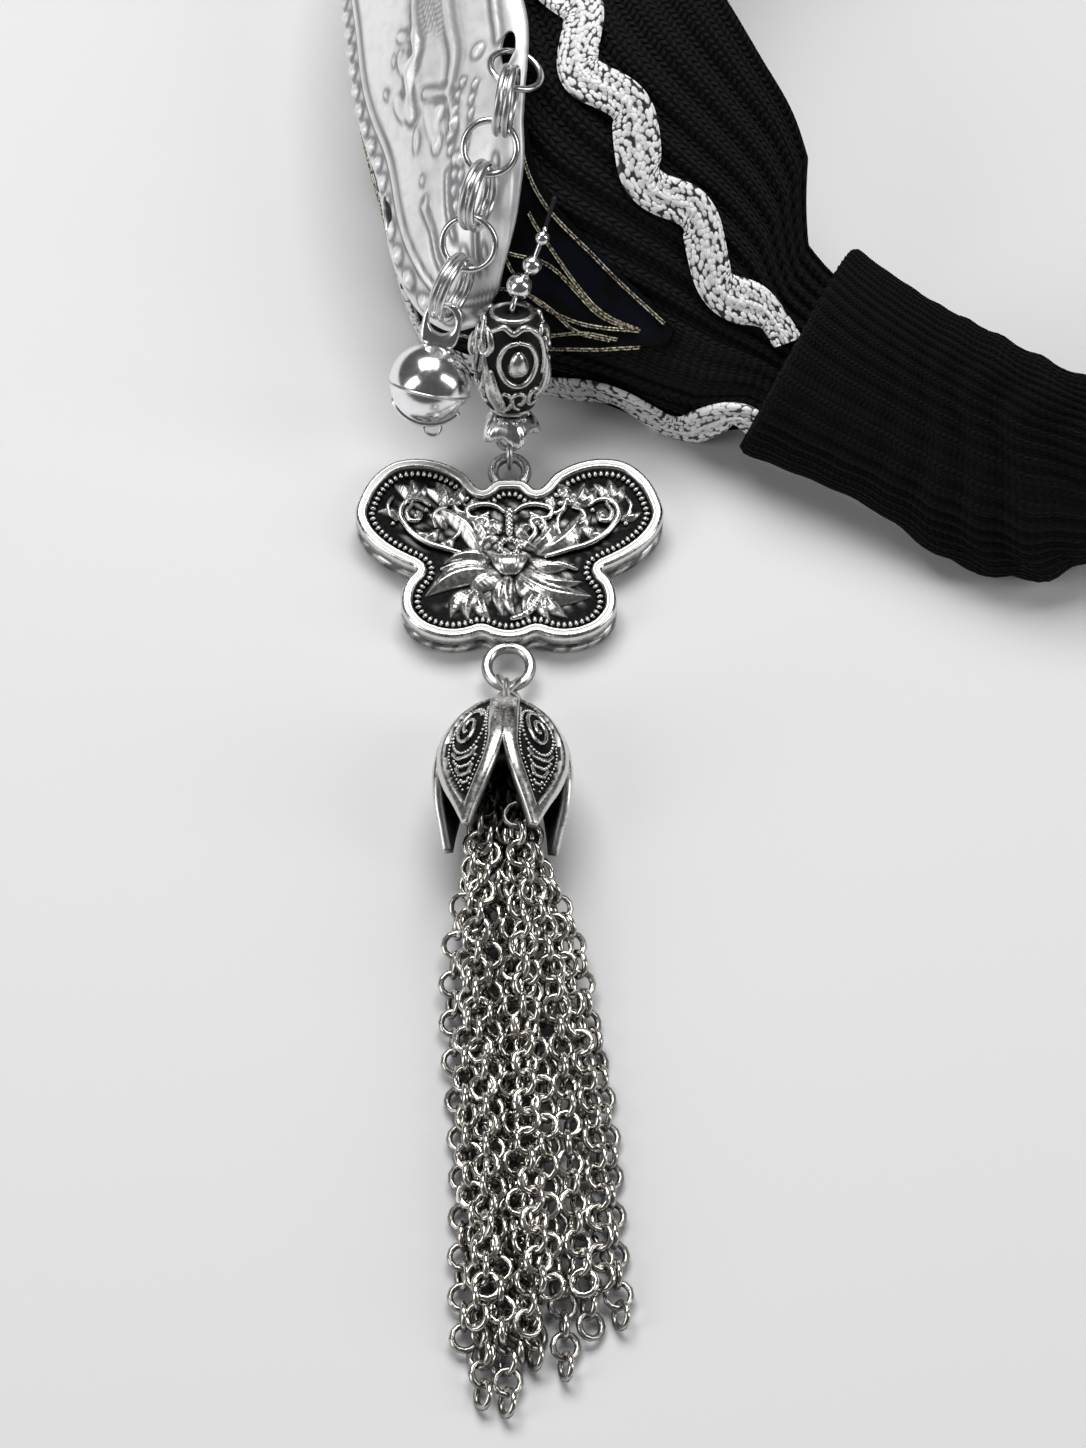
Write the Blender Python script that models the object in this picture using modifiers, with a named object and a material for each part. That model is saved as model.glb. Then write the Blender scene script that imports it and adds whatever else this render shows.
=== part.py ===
"""Embroidered headband: a rib-knit band with a silver plate, an elastic back, a jingle bell and a chain tassel."""

import math

import bmesh
import bpy
import numpy as np
from mathutils import Matrix, Vector

MM = 0.001

# Sizes in millimetres. The loop lies round a plan centre, and a bearing is counted in degrees from its front.
LOOP_RADIUS = 86.0
BAND_HEIGHT = 54.0
BAND_WALL = 2.0
HEM_HEIGHT = 1.5
FRONT_BEARING = 140.0
# The place where the pendants hang, and the bearing and reach of it, which set the plan centre.
SIDE_POINT = (-10.7, 48.8)
SIDE_BEARING = 81.0
SIDE_REACH = 1.12
BAND_END = 112.0
CUFF_START = 103.5
TUCK_START = 99.0
SLEEVE_TUCK = 0.14
CUFF_WALL = 1.6
CUFF_THICKNESS = 8.6
CUFF_SIDES = 14
CUFF_STATIONS = 31
CUFF_SQUARENESS = 0.75
FIT_GAP = 0.3

PANEL_WALL = 1.0
PANEL_END = 95.0
PLATE_WALL = 0.6
PLATE_END = 81.5
PLATE_EDGE_LIFT = 1.0
PLATE_RIDGE = 0.4
PLATE_SCALLOP = 0.006
SCALLOP_BEARING = 13.5
SLOT_LENGTH = 3.6
SLOT_WIDTH = 1.7
SLOT_INSET = 2.4
RING_BEARING = 69.4
RING_SLOT_LENGTH = 4.6
RING_SLOT_WIDTH = 2.4
RING_SLOT_INSET = 2.8
RING_TURN = 40.0
RING_STAND = 45.0
RING_CHORD = 3.2
RING_HANG = 50.0

RICRAC_WIDTH = 5.6
RICRAC_THICKNESS = 1.0
RICRAC_WAVE = 15.0
RICRAC_SWING = 1.7
BRAID_STEPS = 7
BRAID_GAP = 0.65

RING_WIRE = 0.9
RING_OUTER = 7.6
LINK_OUTER = 9.0
LINKS = 3
VIEW_SIDE = (0.0, -0.42, 0.9)
# Places along the chain and the bead string: side, depth and height, where the height is a share of BAND_HEIGHT.
CHAIN_ROUTE = ((-7.2, 58.9, 0.715), (-8.4, 54.4, 0.648), (-9.8, 50.8, 0.581), (-11.7, 47.8, 0.506), (-13.1, 44.8, 0.419),
               (-13.6, 43.2, 0.343))
BELL_RADIUS = 5.3
BELL_DROP = (-0.20, -0.72, -0.66)
BELL_WALL = 0.5
BELL_SLOT = 1.2
TAB_WIDTH = 5.0
TAB_THICKNESS = 1.3
TAB_HOLE = 3.4

PIN_WIRE = 0.7
BEAD_DIAMETERS = (2.0, 2.6, 3.4)
BEAD_PLACES = ((-0.1, 54, 0.561), (-1.4, 51.3, 0.522), (-3, 49, 0.496))
PIN_BEND = 0.8
BARREL_TOP = (-3.9, 46.2, 0.467)
BARREL_WIDTH = 10.0
BARREL_FRAMES = (-12.0, 100.0)
BARREL_FRAME_SHARE = 0.44
BARREL_FRAME_SINK = 0.45
BARREL_DEPTH = 7.6
PETAL_CAP_LENGTH = 3.4
PETAL_CAP_RADIUS = 3.8
EYE_RADIUS = 1.5
DROP_RISE = (0.0, 0.36, 0.93)
SMALL_WIRE = 0.8
SMALL_RING_RADIUS = 1.9

BUTTERFLY_PLACE = (-4.4, 23.4)
BUTTERFLY_WIDTH = 40.3
BUTTERFLY_HEIGHT = 27.2
BUTTERFLY_THICKNESS = 4.8
RIM_WIDTH = 1.2
EDGE_ROUND = 0.4
FIELD_DEPTH = 0.9
GROOVE_DEPTH = 0.8
LOOP_HEIGHT = 3.0
LOOP_WIRE = 1.2
TOP_LOOP_RADIUS = 2.3
BOTTOM_LOOP_RADIUS = 2.9

CAP_RISE = (-0.04, -0.53, 0.85)
CAP_SLOPE = (-0.03, -1.0, 0.07)
CAP_LENGTH = 20.1
CAP_RADIUS = 8.4
CAP_WALL = 0.8
CAP_PETALS = 5
CAP_SIDES = 20
STRAND_RADIUS = 1.5
STRAND_SIDES = 6
STRAND_LENGTH = 68.5

# Sections of the band and of the elastic back: bearing from the front, then the reach and height of hem,
# belly, shoulder and top edge. Reaches are shares of LOOP_RADIUS and heights are shares of BAND_HEIGHT.
BAND_SECTIONS = (
    (0, 1.000, 0.0, 1.017, 0.26, 0.849, 0.722, 0.581, 1.000),
    (30, 1.000, 0.0, 1.017, 0.26, 0.849, 0.722, 0.581, 1.000),
    (50, 1.017, 0.0, 1.041, 0.26, 0.884, 0.713, 0.581, 0.926),
    (66, 1.070, 0.0, 1.093, 0.26, 0.919, 0.685, 0.581, 0.870),
    (79, 1.122, 0.0, 1.145, 0.26, 0.942, 0.611, 0.581, 0.824),
    (87, 1.012, 0.0, 1.035, 0.26, 0.930, 0.472, 0.587, 0.741),
    (95, 0.959, 0.0, 0.959, 0.26, 0.872, 0.407, 0.606, 0.648),
    (104, 0.944, 0.03, 0.919, 0.24, 0.834, 0.370, 0.672, 0.505),
    (117, 0.971, 0.03, 0.953, 0.20, 0.866, 0.370, 0.767, 0.509),
    (126, 1.050, 0.02, 1.012, 0.185, 0.919, 0.370, 0.831, 0.519),
    (132, 1.062, 0.02, 1.035, 0.185, 0.965, 0.370, 0.890, 0.528),
    (138, 1.023, 0.02, 1.006, 0.19, 0.977, 0.380, 0.942, 0.528),
    (150, 1.017, 0.02, 1.009, 0.19, 0.994, 0.380, 0.977, 0.546),
    (180, 1.012, 0.02, 1.006, 0.19, 0.994, 0.380, 0.977, 0.546),
)
STATION_BEARINGS = (0, 10, 20, 30, 40, 50, 58, 64, 70, 74, 77, 80, 83, 86, 89, 93, 97, 101, 105)
PANEL_PARTS = (0.0, 0.25, 0.5, 0.75, 1.0)
# Seams of the embroidered panel, as shares of the band's width from the hem.
SEAM_SECTIONS = (
    (0, 0.20, 0.72),
    (50, 0.20, 0.72),
    (65, 0.19, 0.705),
    (75, 0.19, 0.60),
    (79, 0.19, 0.55),
    (87, 0.235, 0.475),
    (95, 0.35, 0.40),
)
# Edges of the silver plate across the band.
PLATE_SECTIONS = (
    (0, 0.25, 0.70),
    (50, 0.29, 0.715),
    (63, 0.305, 0.71),
    (72, 0.29, 0.655),
    (75, 0.28, 0.61),
    (78.5, 0.25, 0.53),
    (80, 0.255, 0.46),
    (81.5, 0.28, 0.345),
)
# Slots of the plate on each side: bearing, inset from the lower edge or, where negative, from the upper one,
# length and width in millimetres.
SLOTS = (
    (RING_BEARING, -RING_SLOT_INSET, RING_SLOT_LENGTH, RING_SLOT_WIDTH),
    (50.0, -SLOT_INSET, SLOT_LENGTH, SLOT_WIDTH),
    (25.0, -SLOT_INSET, SLOT_LENGTH, SLOT_WIDTH),
    (71.5, 3.2, 4.8, 1.6),
    (35.0, SLOT_INSET, SLOT_LENGTH, SLOT_WIDTH),
    (10.0, SLOT_INSET, SLOT_LENGTH, SLOT_WIDTH),
)
# Elastic back: bearing, lean of its upper edge in degrees and thickness as a share of CUFF_THICKNESS.
CUFF_SECTIONS = (
    (103.5, 5.0, 1.00),
    (109, 3.5, 1.00),
    (117, 1.0, 0.90),
    (126, -1.0, 0.95),
    (132, -1.0, 1.05),
    (138, 0.0, 0.85),
    (150, 0.0, 0.80),
    (180, 0.0, 0.80),
)


def smooth_rows(rows, where):
    """Reads the table at each place: cubic pieces whose slope at a row is the mean of its two sides."""
    table = np.asarray(rows, float)
    x, y = table[:, 0], table[:, 1:]
    step = np.diff(x)[:, None]
    slope = np.diff(y, axis=0) / step
    bend = np.vstack([slope[:1], (slope[:-1] * step[1:] + slope[1:] * step[:-1])
                      / (step[:-1] + step[1:]), slope[-1:]])
    where = np.atleast_1d(np.asarray(where, float))
    i = np.clip(np.searchsorted(x, where) - 1, 0, len(x) - 2)
    t = ((where - x[i]) / step[i, 0])[:, None]
    return ((2 * t**3 - 3 * t**2 + 1) * y[i] + (t**3 - 2 * t**2 + t) * step[i] * bend[i]
            + (-2 * t**3 + 3 * t**2) * y[i + 1] + (t**3 - t**2) * step[i] * bend[i + 1])


def mirrored(rows):
    """The table for both sides of the front, where the other side repeats this one."""
    back = [(-row[0],) + tuple(row[1:]) for row in rows[:0:-1]]
    return back + list(rows)


def plan_centre():
    """The loop's middle, so that the side with the pendants stays where it is when the loop grows."""
    turn = math.radians(FRONT_BEARING + SIDE_BEARING)
    reach = SIDE_REACH * LOOP_RADIUS
    return SIDE_POINT[0] - reach * math.cos(turn), SIDE_POINT[1] - reach * math.sin(turn)


def plan_point(bearing, reach, height):
    """A point in millimetres from its bearing, reach from the plan centre and height."""
    turn = math.radians(FRONT_BEARING + bearing)
    centre = plan_centre()
    return np.array([centre[0] + reach * math.cos(turn), centre[1] + reach * math.sin(turn), height])


def band_profile(bearing):
    """Reach and height along the band's outer face at one bearing, with the share of width at each place."""
    around = abs((bearing + 180) % 360 - 180)
    hem, hem_up, belly, belly_up, shoulder, shoulder_up, top, top_up = smooth_rows(
        mirrored(BAND_SECTIONS), around)[0]
    hem_up = max(hem_up, 0.0)
    knots = np.array([(hem * LOOP_RADIUS, hem_up * BAND_HEIGHT),
                      (hem * LOOP_RADIUS, hem_up * BAND_HEIGHT + HEM_HEIGHT),
                      (belly * LOOP_RADIUS, belly_up * BAND_HEIGHT),
                      (shoulder * LOOP_RADIUS, shoulder_up * BAND_HEIGHT),
                      (top * LOOP_RADIUS, top_up * BAND_HEIGHT)])
    run = np.concatenate([[0], np.cumsum(np.linalg.norm(np.diff(knots, axis=0), axis=1))])
    path = smooth_rows(np.column_stack([run, knots]), np.linspace(0, run[-1], 61))
    path[path[:, 1] < hem_up * BAND_HEIGHT + HEM_HEIGHT, 0] = hem * LOOP_RADIUS
    share = np.concatenate([[0], np.cumsum(np.linalg.norm(np.diff(path, axis=0), axis=1))])
    return path, share / share[-1], share[-1]


def band_point(bearing, share, lift=0.0):
    """A point on the band's outer face, raised by lift along the face's normal."""
    def at(angle, part):
        path, shares, _ = band_profile(angle)
        return plan_point(angle, np.interp(part, shares, path[:, 0]), np.interp(part, shares, path[:, 1]))

    place = at(bearing, share)
    if lift:
        along = at(bearing + 0.5, share) - at(bearing - 0.5, share)
        across = at(bearing, min(share + 0.02, 1)) - at(bearing, max(share - 0.02, 0))
        normal = np.cross(along, across)
        place = place + lift * normal / np.linalg.norm(normal)
    return place


def band_normal(bearing, share):
    """The outward normal of the band's face."""
    normal = band_point(bearing, share, 1.0) - band_point(bearing, share)
    return normal / np.linalg.norm(normal)


def seam_shares(bearing):
    """Where the panel's lower and upper seams lie across the band."""
    return smooth_rows(mirrored(SEAM_SECTIONS), bearing)[0]


def at_height(places):
    """Places in millimetres, from rows whose last column is a share of the band's height."""
    return np.asarray(places) * (1.0, 1.0, BAND_HEIGHT)


def unit(vector):
    vector = np.asarray(vector, float)
    return vector / np.linalg.norm(vector)


def material(name, colour, roughness, metallic):
    made = bpy.data.materials.new(name)
    made.use_nodes = True
    shader = made.node_tree.nodes["Principled BSDF"]
    shader.inputs["Base Color"].default_value = (*colour, 1)
    shader.inputs["Roughness"].default_value = roughness
    shader.inputs["Metallic"].default_value = metallic
    return made


for old in list(bpy.data.objects):
    bpy.data.objects.remove(old, do_unlink=True)
PARTS = bpy.data.collections.new("embroidered_headband")
CUTTERS = bpy.data.collections.new("cutters")
bpy.context.scene.collection.children.link(PARTS)
bpy.context.scene.collection.children.link(CUTTERS)
FRAME = bpy.data.objects.new("headband_origin", None)
PARTS.objects.link(FRAME)

KNIT = material("black_rib_knit", (0.012, 0.012, 0.013), 0.9, 0.0)
SATIN = material("navy_satin", (0.012, 0.016, 0.03), 0.5, 0.0)
ELASTIC = material("black_elastic", (0.01, 0.01, 0.011), 0.85, 0.0)
TINSEL = material("silver_tinsel", (0.75, 0.75, 0.77), 0.35, 0.9)
SILVER = material("bright_silver", (0.86, 0.86, 0.87), 0.16, 1.0)
ANTIQUE = material("antique_silver", (0.42, 0.41, 0.39), 0.3, 1.0)
CHAIN_METAL = material("nickel_chain", (0.5, 0.48, 0.45), 0.28, 1.0)


def add_object(name, mesh, surface, collection=None):
    made = bpy.data.objects.new(name, mesh)
    (collection or PARTS).objects.link(made)
    made.parent = FRAME
    mesh.materials.clear()
    mesh.materials.append(surface)
    return made


def grid_mesh(name, points, round_ends=False):
    """An open sheet through rows of points in millimetres. With round_ends each row is a closed loop."""
    points = np.asarray(points, float) * MM
    rows, columns = points.shape[:2]
    index = np.arange(rows * columns).reshape(rows, columns)
    if round_ends:
        index = np.column_stack([index, index[:, 0]])
    quads = np.stack([index[:-1, :-1], index[1:, :-1], index[1:, 1:], index[:-1, 1:]], axis=-1)
    mesh = bpy.data.meshes.new(name)
    mesh.from_pydata(points.reshape(-1, 3).tolist(), [], quads.reshape(-1, 4).tolist())
    mesh.shade_smooth()
    return mesh


def shell(name, points, wall, surface, round_ends=False, outward=False):
    """A sheet with its wall grown inward by Solidify, or outward."""
    made = add_object(name, grid_mesh(name, points, round_ends), surface)
    thicken = made.modifiers.new("wall", "SOLIDIFY")
    thicken.thickness = wall * MM
    thicken.offset = 1.0 if outward else -1.0
    return made


def boolean(target, cutter, operation="DIFFERENCE"):
    """Cuts or joins, applies the result and removes the other solid."""
    step = target.modifiers.new("boolean", "BOOLEAN")
    step.operation = operation
    step.object = cutter
    graph = bpy.context.evaluated_depsgraph_get()
    result = bpy.data.meshes.new_from_object(target.evaluated_get(graph))
    target.modifiers.clear()
    target.data = result
    bpy.data.objects.remove(cutter, do_unlink=True)
    return target


def torus(name, major, minor, place, normal, surface, sides=14, wire_sides=6, double=1.0):
    """A wire ring round its normal. Double widens the wire along the normal, as two turns side by side."""
    bpy.ops.mesh.primitive_torus_add(major_segments=sides, minor_segments=wire_sides,
                                     major_radius=major * MM, minor_radius=minor * MM)
    made = bpy.context.object
    mesh = made.data
    bpy.data.objects.remove(made, do_unlink=True)
    mesh.name = name
    z_axis = Vector(normal).normalized()
    turn = axes_along(normal, z_axis.orthogonal()).to_4x4()
    mesh.transform(Matrix.Diagonal((1, 1, double, 1)))
    mesh.transform(Matrix.Translation(Vector(place) * MM) @ turn)
    mesh.shade_smooth()
    return add_object(name, mesh, surface)


def sphere(name, radius, place, surface, segments=14, rings=8, scale=(1, 1, 1), axes=None):
    mesh = bpy.data.meshes.new(name)
    work = bmesh.new()
    bmesh.ops.create_uvsphere(work, u_segments=segments, v_segments=rings, radius=radius * MM)
    work.to_mesh(mesh)
    work.free()
    mesh.transform(Matrix.Diagonal((*scale, 1)))
    if axes is not None:
        mesh.transform(axes.to_4x4())
    mesh.transform(Matrix.Translation(Vector(place) * MM))
    mesh.shade_smooth()
    return add_object(name, mesh, surface)


def axes_along(direction, side=(1, 0, 0)):
    """A turn that takes +Z to the direction and +X as near as it goes to the side."""
    z_axis = Vector(direction).normalized()
    x_axis = Vector(side)
    x_axis = (x_axis - x_axis.dot(z_axis) * z_axis).normalized()
    return Matrix((x_axis, z_axis.cross(x_axis), z_axis)).transposed()


def turned(name, profile, place, direction, surface, sides=16):
    """A solid turned round a direction from a profile of radius and height, drilled where it is a closed loop."""
    angles = np.linspace(0, 2 * math.pi, sides, endpoint=False)
    profile = np.asarray(profile, float)
    ring = np.stack([np.cos(angles), np.sin(angles)], axis=1)
    points = np.concatenate([profile[:, None, :1] * ring[None], np.repeat(profile[:, None, 1:], sides, axis=1)],
                            axis=2)
    points = np.concatenate([points, points[:1]])
    mesh = grid_mesh(name, points, round_ends=True)
    work = bmesh.new()
    work.from_mesh(mesh)
    bmesh.ops.remove_doubles(work, verts=work.verts, dist=1e-6)
    bmesh.ops.recalc_face_normals(work, faces=work.faces)
    work.to_mesh(mesh)
    work.free()
    mesh.transform(Matrix.Translation(Vector(place) * MM) @ axes_along(direction).to_4x4())
    mesh.shade_smooth()
    return add_object(name, mesh, surface)


def wire(name, points, radius, surface, resolution=1):
    """A round wire through its points, with filled ends, as a mesh."""
    curve = bpy.data.curves.new(name, "CURVE")
    curve.dimensions = "3D"
    curve.bevel_depth = radius * MM
    curve.bevel_resolution = resolution
    curve.use_fill_caps = True
    line = curve.splines.new("POLY")
    line.points.add(len(points) - 1)
    for point, place in zip(line.points, points):
        point.co = (*(np.asarray(place, float) * MM), 1)
    made = bpy.data.objects.new(name, curve)
    PARTS.objects.link(made)
    mesh = bpy.data.meshes.new_from_object(made.evaluated_get(bpy.context.evaluated_depsgraph_get()))
    bpy.data.objects.remove(made, do_unlink=True)
    work = bmesh.new()
    work.from_mesh(mesh)
    bmesh.ops.remove_doubles(work, verts=work.verts, dist=1e-6)
    bmesh.ops.recalc_face_normals(work, faces=work.faces)
    work.to_mesh(mesh)
    work.free()
    mesh.shade_smooth()
    return add_object(name, mesh, surface)


def stations(end):
    """The bearings that band, panel and plate share, closer together round the corners, up to one end."""
    half = [b for b in STATION_BEARINGS if b < end - 0.5] + [end]
    return [-b for b in half[:0:-1]] + half


# Knit band
def make_band():
    points = []
    for bearing in stations(BAND_END):
        low, high = seam_shares(bearing)
        panel = [low + part * (high - low) for part in PANEL_PARTS]
        border = [low * part for part in (0.33, 0.67)]
        above = [high + part * (1 - high) for part in (0.25, 0.5, 0.75, 1.0)]
        tuck = SLEEVE_TUCK * min(max((abs(bearing) - TUCK_START) / (CUFF_START - TUCK_START), 0), 1)
        points.append([band_point(bearing, tuck + (1 - 2 * tuck) * share)
                       for share in [0.0, 0.02] + border + panel + above])
    return shell("knit_band", points, BAND_WALL, KNIT)


# Embroidered panel
def make_panel():
    points = []
    for bearing in stations(PANEL_END):
        low, high = seam_shares(bearing)
        points.append([band_point(bearing, low + part * (high - low), FIT_GAP) for part in PANEL_PARTS])
    return shell("embroidered_panel", points, PANEL_WALL, SATIN, outward=True)


def plate_shares(bearing):
    """The plate's lower and upper edges across the band, gently scalloped."""
    low, high = smooth_rows(mirrored(PLATE_SECTIONS), bearing)[0]
    fade = min(1.0, (PLATE_END - abs(bearing)) / 6)
    scallop = PLATE_SCALLOP * fade * math.cos(math.radians(bearing * 360 / SCALLOP_BEARING))
    return low + scallop, high + scallop * 0.5


def plate_lift(bearing, across):
    """How far the plate's inner face stands off the band: the panel, the gap, the lifted edge and the relief."""
    ridge = math.exp(-((across - 0.07) / 0.06) ** 2) + math.exp(-((across - 0.93) / 0.06) ** 2)
    fold = math.sin(math.radians(bearing * 360 / 27)) * math.sin(math.pi * across) ** 2
    return (2 * FIT_GAP + PANEL_WALL + PLATE_EDGE_LIFT * across ** 2 + PLATE_RIDGE * (ridge + 0.6 + 0.6 * fold))


# Silver plate
def make_plate():
    across = (0.0, 0.07, 0.15, 0.32, 0.5, 0.68, 0.85, 0.93, 1.0)
    points = []
    for bearing in stations(PLATE_END):
        low, high = plate_shares(bearing)
        points.append([band_point(bearing, low + part * (high - low), plate_lift(bearing, part))
                       for part in across])
    plate = shell("silver_plate", points, PLATE_WALL, SILVER, outward=True)
    bpy.context.view_layer.update()
    for bearing, inset, length, width in SLOTS:
        for side in (-1, 1):
            boolean(plate, slot_cutter(side * bearing, slot_part(bearing, inset), length, width))
    return plate


def plate_place(bearing, part, lift=0.0):
    """A point on the plate's inner face, raised by lift."""
    low, high = plate_shares(bearing)
    return band_point(bearing, low + part * (high - low), plate_lift(bearing, part) + lift)


def slot_cutter(bearing, part, length, width):
    """A pointed oval prism through the plate, long along the band."""
    place = plate_place(bearing, part, PLATE_WALL / 2)
    outward = band_normal(bearing, 0.4)
    along = plate_place(bearing + 1, part) - plate_place(bearing - 1, part)
    outward = np.cross(np.cross(along, outward), along)
    outline = [(length / 2 * math.cos(t), width / 2 * math.sin(t) ** 2 * (1 if t < math.pi else -1))
               for t in np.linspace(0, 2 * math.pi, 12, endpoint=False)]
    work = bmesh.new()
    corners = [work.verts.new((x * MM, y * MM, -2.2 * MM)) for x, y in outline]
    face = work.faces.new(corners)
    raised = bmesh.ops.extrude_face_region(work, geom=[face])
    bmesh.ops.translate(work, vec=(0, 0, 4.4 * MM),
                        verts=[v for v in raised["geom"] if isinstance(v, bmesh.types.BMVert)])
    bmesh.ops.recalc_face_normals(work, faces=work.faces)
    mesh = bpy.data.meshes.new("slot_cutter")
    work.to_mesh(mesh)
    work.free()
    mesh.transform(Matrix.Translation(Vector(place) * MM) @ axes_along(outward, along).to_4x4())
    cutter = add_object("slot_cutter", mesh, SILVER, CUTTERS)
    cutter.hide_render = True
    cutter.display_type = "WIRE"
    return cutter


def slot_part(bearing, inset):
    """How far across the plate a slot lies, from its inset off the lower edge, or off the upper one if negative."""
    low, high = plate_shares(bearing)
    part = inset / ((high - low) * band_profile(bearing)[2])
    return part if inset > 0 else 1 + part


def make_ricrac(name, base_share, end):
    """A waved braid on the knit. Its middle swings across the band and its edges follow its slope."""
    middle_reach = LOOP_RADIUS * 0.9
    length = math.radians(2 * end) * middle_reach
    count = int(length / RICRAC_WAVE * BRAID_STEPS)
    lines = []
    for bearing in np.linspace(-end, end, count):
        path, _, width = band_profile(bearing)
        run = math.radians(bearing) * middle_reach
        turn = 2 * math.pi * run / RICRAC_WAVE
        share = base_share(bearing) + RICRAC_SWING / width * math.sin(turn)
        slope = RICRAC_SWING * 2 * math.pi / RICRAC_WAVE * math.cos(turn)
        lean = math.atan(slope)
        row = []
        for side in (-0.5, 0.5):
            step_across = side * RICRAC_WIDTH * math.cos(lean)
            step_along = -side * RICRAC_WIDTH * math.sin(lean)
            row.append(band_point(bearing + math.degrees(step_along / middle_reach),
                                  share + step_across / width, BRAID_GAP))
        lines.append(row)
    return shell(name, lines, RICRAC_THICKNESS, TINSEL, outward=True)


def upper_braid_share(bearing):
    """The upper braid's middle line: midway between the panel's seam and the top edge, lower near the back."""
    return float(np.interp(abs(bearing), (0, 50, 60, 67, 77, 84, 92, 99, 104),
                           (0.87, 0.86, 0.81, 0.765, 0.74, 0.70, 0.62, 0.57, 0.57)))


def lower_braid_share(bearing):
    """The lower braid's middle line, low on the border."""
    return float(np.interp(abs(bearing), (0, 84, 93, 98, 104), (0.11, 0.11, 0.13, 0.17, 0.25)))


# Elastic back
def make_cuff():
    rows = list(CUFF_SECTIONS)
    rows += [(360 - bearing, -lean, thick) for bearing, lean, thick in rows[-2::-1]]
    turns = np.linspace(0, 2 * math.pi, CUFF_SIDES, endpoint=False)
    points = []
    for bearing in np.linspace(rows[0][0], rows[-1][0], CUFF_STATIONS):
        lean, thick = smooth_rows(rows, bearing)[0]
        ring = []
        for turn in turns:
            across = math.copysign(abs(math.cos(turn)) ** CUFF_SQUARENESS, math.cos(turn))
            share = 0.5 - 0.5 * across
            lift = -BAND_WALL / 2 + thick * CUFF_THICKNESS / 2 * math.sin(turn)
            ring.append(band_point(bearing + lean * share, share, lift))
        points.append(ring)
    points = np.array(points)
    points[..., 2] = np.maximum(points[..., 2], 0.0)
    return shell("elastic_cuff", points, CUFF_WALL, ELASTIC, round_ends=True)


def fused(name, pieces):
    """One body from overlapping pieces, joined one after another."""
    body = pieces[0]
    for piece in pieces[1:]:
        boolean(body, piece, "UNION")
    body.name = name
    body.data.name = name
    body.data.shade_smooth()
    return body


# Bell and its chain
def chain_start():
    """Centre and normal of the first ring, and the way its link hangs. It passes a slot and round the plate's edge."""
    slot = plate_place(RING_BEARING, slot_part(RING_BEARING, -RING_SLOT_INSET), PLATE_WALL / 2)
    edge = plate_place(RING_BEARING, 1.0, PLATE_WALL / 2)
    along = unit(plate_place(RING_BEARING + 2, 1.0) - plate_place(RING_BEARING - 1, 1.0))
    outward = unit(np.cross(along, edge - slot))
    across = np.cross(outward, along)
    turn, stand, hang = (math.radians(angle) for angle in (RING_TURN, RING_STAND, RING_HANG))
    chord = math.cos(turn) * along + math.sin(turn) * across
    rising = math.cos(stand) * (math.sin(turn) * along - math.cos(turn) * across) + math.sin(stand) * outward
    radius = (RING_OUTER - RING_WIRE) / 2
    centre = slot + RING_CHORD * chord + math.sqrt(radius ** 2 - RING_CHORD ** 2) * rising
    return centre, unit(np.cross(rising, chord)), math.cos(hang) * chord + math.sin(hang) * rising


def clear_of_plate(places):
    """The places, each moved out along the plate's normal where a link there would come too near the plate."""
    spots = [(bearing, part) for bearing in np.arange(60, PLATE_END, 2.0) for part in np.linspace(0, 1, 9)]
    face = np.array([plate_place(bearing, part, PLATE_WALL) for bearing, part in spots])
    clearance = LINK_OUTER / 2 + FIT_GAP
    moved = []
    for place in places:
        away = place - face
        nearest = int(np.argmin(np.linalg.norm(away, axis=1)))
        out = band_normal(spots[nearest][0], 0.4)
        short = clearance - np.linalg.norm(away[nearest])
        moved.append(place + max(short, 0.0) * out)
    return moved


def chain_places():
    """Centres of the rings and links, a pitch apart along the route, and the hole of the bell's tab."""
    ring_radius = (RING_OUTER - RING_WIRE) / 2
    link_radius = (LINK_OUTER - RING_WIRE) / 2
    pitch = ring_radius + link_radius - RING_WIRE - FIT_GAP
    centre, _, hang = chain_start()
    knots = np.array([centre, centre + pitch * hang, *clear_of_plate(at_height(CHAIN_ROUTE))])
    run = np.concatenate([[0], np.cumsum(np.linalg.norm(np.diff(knots, axis=0), axis=1))])
    path = smooth_rows(np.column_stack([run, knots]), np.linspace(0, run[-1], 400))
    along = np.concatenate([[0], np.cumsum(np.linalg.norm(np.diff(path, axis=0), axis=1))])
    last = link_radius + TAB_HOLE / 2 - RING_WIRE - 0.2
    steps = np.append(np.arange(2 * LINKS) * pitch, (2 * LINKS - 1) * pitch + last)
    return np.stack([np.interp(steps, along, path[:, i]) for i in range(3)], axis=1)


def facing_across(direction):
    """The unit vector nearest the side that the rings face, square to a direction."""
    return unit(np.array(VIEW_SIDE) - np.dot(VIEW_SIDE, direction) * np.asarray(direction))


def make_bell_chain():
    places = chain_places()
    facing = chain_start()[1]
    for index, place in enumerate(places[:-1]):
        direction = unit(places[index + 1] - places[max(index - 1, 0)])
        facing = facing if index < 2 else facing_across(direction)
        number = index // 2 + 1
        if index % 2:
            torus(f"chain_link_{number}", (LINK_OUTER - RING_WIRE) / 2, RING_WIRE / 2, place,
                  np.cross(direction, facing), SILVER, double=2.0)
        else:
            torus(f"chain_ring_{number}", (RING_OUTER - RING_WIRE) / 2, RING_WIRE / 2, place, facing, SILVER)


def bell_frame():
    """The bell's centre, its axis up to the tab and the tab's hole."""
    hole = chain_places()[-1]
    hang = BELL_RADIUS + TAB_HOLE / 2 + 1.3
    drop = unit(BELL_DROP)
    return hole + hang * drop, -drop, hole


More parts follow.
